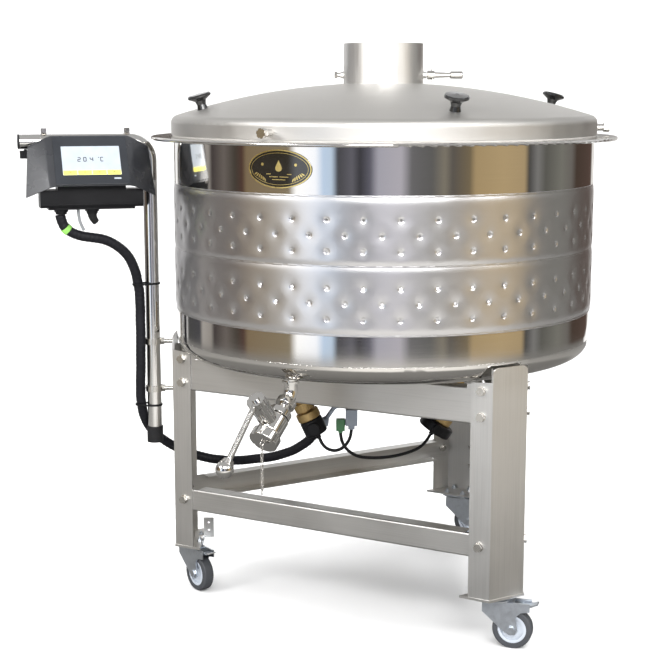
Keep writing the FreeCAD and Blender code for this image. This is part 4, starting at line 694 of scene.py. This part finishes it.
def badge_ring(name, outer, inner_edge, lift, material, sides=96):
    """A raised elliptical band on the badge."""
    turns = [2 * math.pi * k / sides for k in range(sides)]
    rings = [[on_badge(a * math.cos(t), b * math.sin(t), height) for t in turns]
             for (a, b), height in ((outer, 0.0), (outer, lift), (inner_edge, lift), (inner_edge, 0.0))]
    make(name, ring_surface(name, rings, closed_rows=True), material, "frame", smooth=False)


badge_ring("badge_rim", (0.0853, 0.0453), (0.0825, 0.0425), 0.0009, gold)
badge_ring("badge_line", (0.0775, 0.0378), (0.0765, 0.0368), 0.0005, gold)


def badge_shape(name, outline, lift, material):
    count = len(outline)
    points = [on_badge(u, v, 0.0) for u, v in outline] + [on_badge(u, v, lift) for u, v in outline]
    faces = [tuple(range(count, 2 * count)), tuple(reversed(range(count)))]
    faces += [(k, (k + 1) % count, count + (k + 1) % count, count + k) for k in range(count)]
    make(name, mesh_from(name, points, faces), material, "frame", smooth=False)


def drop(scale, u0, v0):
    outline = []
    for k in range(24):
        t = 2 * math.pi * k / 24
        u = math.sin(t) * (1 - math.cos(t)) * 0.5 * scale
        v = math.cos(t) * scale
        outline.append((u0 - u, v0 + v))
    return outline


badge_shape("badge_drop", drop(0.0135, 0.0, 0.0075), 0.0007, gold)
for side, side_name in ((-1, "left"), (1, "right")):
    for k in range(6):
        lean = math.radians(32 + 16 * k)
        u0 = side * (0.064 - 0.0052 * k)
        v0 = -0.012 - 0.0028 * k
        leaf = []
        for j in range(10):
            t = 2 * math.pi * j / 10
            x = LEAF_LONG * math.cos(t)
            y = LEAF_WIDE * math.sin(t)
            leaf.append((u0 - side * (x * math.cos(lean) - y * math.sin(lean)),
                         v0 + x * math.sin(lean) + y * math.cos(lean)))
        outline = leaf if side < 0 else leaf[::-1]
        badge_shape("badge_leaf_%s_%d" % (side_name, k), outline, EMBLEM_LIFT, gold)
for k in range(3):
    half = 0.034 - 0.008 * k
    v0 = -0.013 - 0.0065 * k
    bar = [(-half, v0), (half, v0), (half, v0 + BAR_HEIGHT), (-half, v0 + BAR_HEIGHT)]
    badge_shape("badge_bar_%d" % k, bar, EMBLEM_LIFT, gold)
for side, side_name in ((-1, "left"), (1, "right")):
    dot = [(side * 0.045 + DOT_R * math.cos(t), 0.010 + DOT_R * math.sin(t))
           for t in (math.pi * j / 8 for j in range(16))]
    badge_shape("badge_dot_" + side_name, dot, EMBLEM_LIFT, gold)


# ---- touch panel ----------------------------------------------------------------------------------
def panel_block(name, u, v, width, height, lift, thick, material, bevel=0.0):
    centre = SCREEN + ARM * u + FACE_UP * v + FACE_NORMAL * (0.0016 + lift + thick / 2)
    mesh = box_mesh(name, centre, ARM, FACE_UP, FACE_NORMAL, (width, height, thick), bevel)
    return make(name, mesh, material, "control_box", smooth=False)


BEZEL = 0.0018                      # thicknesses of the bezel, the screen's glass and what is drawn on it
GLASS = 0.0006
KEY = 0.0004
DIGIT = 0.0003
ON_GLASS = BEZEL + GLASS
bezel = panel_block("panel_bezel", 0, 0, 0.190, 0.142, 0.0, BEZEL, bezel_grey, 0.0007)
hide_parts("display_panel")
SCREEN_V = -0.0015
KEY_STEP = 0.0375
panel_block("panel_screen", 0, SCREEN_V, 0.150, 0.0845, BEZEL, GLASS, screen_white)
for k in range(4):
    key_u = KEY_STEP * (k - 1.5)
    panel_block("panel_key_%d" % (k + 1), key_u, SCREEN_V - 0.0353, 0.0350, 0.0130, ON_GLASS, KEY,
                button_yellow)
    panel_block("panel_key_mark_%d" % (k + 1), key_u, SCREEN_V - 0.0340, 0.0045, 0.0026, ON_GLASS + KEY,
                0.0002, ink)

# a generic reading in seven-segment digits; a segment's place is across, up, and 1 where it lies flat
SEGMENTS = {"2": "abged", "0": "abcdef", "4": "fgbc", "C": "adef"}
SEGMENT_PLACES = {"a": (0, 1, 1), "b": (0.5, 0.5, 0), "c": (0.5, -0.5, 0), "d": (0, -1, 1),
                  "e": (-0.5, -0.5, 0), "f": (-0.5, 0.5, 0), "g": (0, 0, 1)}
STROKE = 0.0019
FLAT_LONG, UPRIGHT_LONG = 0.0062, 0.0052
DIGIT_WIDE, DIGIT_HALF = 0.0066, 0.0056
DIGIT_V = 0.002
for place, (digit, digit_u) in enumerate((("2", -0.031), ("0", -0.016), ("4", 0.001), ("C", 0.028))):
    for segment in SEGMENTS[digit]:
        du, dv, flat = SEGMENT_PLACES[segment]
        width, height = (FLAT_LONG, STROKE) if flat else (STROKE, UPRIGHT_LONG)
        panel_block("digit_%d_%s" % (place, segment), digit_u + du * DIGIT_WIDE, DIGIT_V + dv * DIGIT_HALF,
                    width, height, ON_GLASS, DIGIT, ink)
panel_block("digit_degree", 0.0195, 0.0072, 0.0024, 0.0024, ON_GLASS, DIGIT, ink)
panel_block("panel_mark", 0.064, -0.0545, 0.018, 0.0042, BEZEL, KEY, screen_white)

# the case's rib and the boot under its second gland
rib = box_mesh("housing_rib", box_point(0, 0.0885, 1.0800), ARM, FACE, UP, (0.258, 0.0016, 0.0018), 0.0006)
make("housing_rib", rib, black_plastic, "control_box")
boot_top = box_point(0.002, 0.057, 1.0535)
BOOT_SWAY = ARM * 0.010 - FACE * 0.004
boot_line = [boot_top + UP * (0.001 - 0.0015 * k) + BOOT_SWAY * (k / 16) ** 2 for k in range(17)]
boot = tube_along("gland_boot", boot_line, lambda k, j: 0.0125 - 0.00022 * k, 20)
make("gland_boot", boot, black_rubber, "control_box")

# the green tag on the loom
TAG_Z = 1.019
TAG_STEPS = 9
tag_at = next(k for k, p in enumerate(loom_line) if p.z < TAG_Z)
tag = tube_along("loom_tag", loom_line[tag_at:tag_at + TAG_STEPS], lambda k, j: LOOM_D / 2 + 0.0010, 24)
make("loom_tag", tag, tag_green, TILTING)

# ---- studio ---------------------------------------------------------------------------------------
FLOOR_FRONT, FLOOR_BACK, HALF_WIDTH = -9.0, 3.2, 9.0
SWEEP_R, WALL_TOP = 2.2, 7.0
profile = [(FLOOR_FRONT, 0.0), (FLOOR_BACK, 0.0)]
for k in range(1, 13):
    a = math.radians(90 * k / 12)
    profile.append((FLOOR_BACK + SWEEP_R * math.sin(a), SWEEP_R - SWEEP_R * math.cos(a)))
profile.append((FLOOR_BACK + SWEEP_R, WALL_TOP))
points = [(x, y, z) for y, z in profile for x in (-HALF_WIDTH, HALF_WIDTH)]
faces = [(2 * k, 2 * k + 1, 2 * k + 3, 2 * k + 2) for k in range(len(profile) - 1)]
backdrop = bpy.data.objects.new("backdrop", mesh_from("backdrop", points, faces))
scene.collection.objects.link(backdrop)
for polygon in backdrop.data.polygons:
    polygon.use_smooth = True
paper, tree, shader = new_material("paper")
whites = [(0.3, (0.90, 0.90, 0.90)), (0.7, (0.93, 0.93, 0.93))]
tree.links.new(ramp(tree, noise(tree, object_space(tree), 2.0), whites), shader.inputs["Base Color"])
shader.inputs["Roughness"].default_value = 0.85
backdrop.data.materials.append(paper)


def area_light(name, place, target, size, power, colour=(1, 1, 1), mirrored=True):
    data = bpy.data.lights.new(name, "AREA")
    data.shape = "RECTANGLE"
    data.size, data.size_y = size
    data.energy = power
    data.color = colour
    lamp = bpy.data.objects.new(name, data)
    scene.collection.objects.link(lamp)
    lamp.location = place
    lamp.rotation_euler = (Vector(target) - Vector(place)).to_track_quat("-Z", "Y").to_euler()
    lamp.visible_glossy = mirrored


# the lights: where each stands, where it points, its size and its power in watts
area_light("key", (0.45, -3.7, 2.75), (0.15, 0, 1.0), (3.2, 1.3), 160)
area_light("side", (-3.2, -2.2, 2.9), (0, 0, 0.9), (1.2, 1.2), 75)
area_light("fill", (3.4, -2.4, 2.8), (0, 0, 0.8), (1.2, 1.4), 34, (0.95, 0.97, 1.0))
area_light("top", (0, 0.3, 4.4), (0, 0, 0), (5.0, 5.0), 350, mirrored=False)


# A painted reflection of the room, which the polished steel mirrors: degrees round from the camera, and the
# colour there.
PAINTED_ROOM_REFLECTION = [(-180, (0.70, 0.70, 0.70)), (-170, (0.10, 0.09, 0.08)), (-156, (0.10, 0.08, 0.07)),
        (-151, (0.95, 0.95, 0.95)), (-139, (0.72, 0.72, 0.72)), (-131, (0.85, 0.85, 0.85)),
        (-127, (0.07, 0.07, 0.07)), (-112, (0.07, 0.07, 0.08)), (-109, (0.42, 0.40, 0.38)),
        (-101, (0.34, 0.32, 0.30)), (-98, (0.06, 0.05, 0.05)), (-88, (0.16, 0.14, 0.13)),
        (-80, (0.07, 0.06, 0.05)), (-75, (0.09, 0.05, 0.04)), (-72, (0.24, 0.18, 0.11)),
        (-47, (0.28, 0.23, 0.15)), (-43, (1.25, 1.27, 1.3)), (-33, (1.15, 1.2, 1.3)),
        (-29, (0.60, 0.76, 1.0)), (-25, (0.60, 0.75, 0.95)), (-22, (0.07, 0.07, 0.08)),
        (-15, (0.14, 0.14, 0.17)), (-11, (0.05, 0.05, 0.06)), (-6, (0.13, 0.13, 0.17)),
        (-2, (0.44, 0.44, 0.52)), (9, (0.50, 0.49, 0.56)), (14, (0.16, 0.16, 0.17)),
        (24, (0.13, 0.13, 0.13)), (30, (0.24, 0.22, 0.18)), (34, (0.12, 0.11, 0.10)),
        (43, (0.20, 0.16, 0.10)), (46, (0.44, 0.33, 0.18)), (62, (0.50, 0.38, 0.21)),
        (75, (0.46, 0.35, 0.20)), (78, (0.07, 0.07, 0.07)), (84, (0.22, 0.22, 0.22)),
        (90, (0.12, 0.12, 0.11)), (104, (0.20, 0.20, 0.18)), (114, (0.16, 0.15, 0.14)),
        (120, (0.07, 0.05, 0.04)), (146, (0.09, 0.06, 0.05)), (152, (0.85, 0.83, 0.80)),
        (164, (0.30, 0.29, 0.28)), (172, (0.90, 0.90, 0.90)), (180, (0.70, 0.70, 0.70))]
CURTAIN_R = 4.45
CURTAIN_FOOT, CURTAIN_TOP = -0.5, 2.1
# glow of the painted reflection ring; it is no lamp and lights nothing, it is only mirrored
CURTAIN_GLOW = 1.25
CAMERA_TURN = math.degrees(math.atan2(CAMERA_FROM_AXIS.x, -CAMERA_FROM_AXIS.y))


def painted_reflection_colour(degrees):
    for (a, first), (b, second) in zip(PAINTED_ROOM_REFLECTION, PAINTED_ROOM_REFLECTION[1:]):
        if a <= degrees <= b:
            t = (degrees - a) / (b - a)
            return [p + (q - p) * t for p, q in zip(first, second)]
    return PAINTED_ROOM_REFLECTION[0][1]


def painted_board(name, rings, tones, material_name):
    """A surface round the set, seen only in reflections. Gives its material's tree, shader and paint."""
    mesh = ring_surface(name, rings)
    paint = mesh.color_attributes.new("paint", "FLOAT_COLOR", "POINT")
    for point, tone in zip(paint.data, tones):
        point.color = (*tone, 1.0)
    board = bpy.data.objects.new(name, mesh)
    scene.collection.objects.link(board)
    board.visible_camera = False
    board.visible_diffuse = False
    board.visible_shadow = False
    material, tree, shader = new_material(material_name)
    mesh.materials.append(material)
    return tree, shader, add(tree, "ShaderNodeAttribute", attribute_name="paint").outputs["Color"]


def painted_reflection_ring():
    """An upright ring of glowing board, seen only in reflections: a painted reflection of the room round the
    set.
    """
    turns = [360.0 * k / 720 - 180.0 for k in range(720)]
    rings = [[AXIS + radial(turn + CAMERA_TURN) * CURTAIN_R + UP * z for turn in turns]
             for z in (CURTAIN_FOOT, CURTAIN_TOP)]
    tree, shader, paint = painted_board("painted_reflection_ring", rings, [painted_reflection_colour(turn) for turn in turns] * 2,
                                        "painted_reflection_glow")
    shader.inputs["Base Color"].default_value = (0, 0, 0, 1)
    shader.inputs["Specular IOR Level"].default_value = 0.0
    tree.links.new(paint, shader.inputs["Emission Color"])
    shader.inputs["Emission Strength"].default_value = CURTAIN_GLOW


painted_reflection_ring()

NEAR_R, FAR_R = 1.5, 1.9            # the painted floor reflection is dark within the first, at its full tone past the second
NEAR_TONE, SIDE_TONE, FRONT_TONE = 0.11, 0.20, 0.28     # the front tone is added to the side's
FRONT_AT, FRONT_HALF, FRONT_FADE = 16.0, 64.0, 38.0     # degrees round from the camera


# tone of the painted floor reflection at a turn from the camera and a distance from the axis
def painted_floor_tone(turn, r):
    front = min(1.0, max(0.0, (FRONT_HALF - abs(turn - FRONT_AT)) / FRONT_FADE))
    return SIDE_TONE + FRONT_TONE * front if r > NEAR_R else NEAR_TONE


def ground():
    """A painted sheet on the floor, seen only in reflections: a painted reflection of a darker floor, darkest
    near the kettle and lighter on the camera's side.
    """
    turns = [360.0 * k / 96 - 180.0 for k in range(96)]
    radii = (0.02, NEAR_R, FAR_R, CURTAIN_R)
    rings = [[AXIS + radial(turn + CAMERA_TURN) * r + UP * 0.004 for turn in turns] for r in radii]
    greys = [painted_floor_tone(turn, r) for r in radii for turn in turns]
    tones = [(grey, grey * 0.98, grey * 0.94) for grey in greys]
    tree, shader, paint = painted_board("ground", rings, tones, "painted_floor_reflection")
    tree.links.new(paint, shader.inputs["Base Color"])
    shader.inputs["Roughness"].default_value = 0.9


ground()

SKY_GLOW = 0.55
world = bpy.data.worlds.new("studio")
scene.world = world
world.use_nodes = True
sky = world.node_tree.nodes["Background"]
sky.inputs["Color"].default_value = (1.0, 1.0, 1.0, 1.0)
sky.inputs["Strength"].default_value = SKY_GLOW
scene.view_settings.view_transform = "Standard"
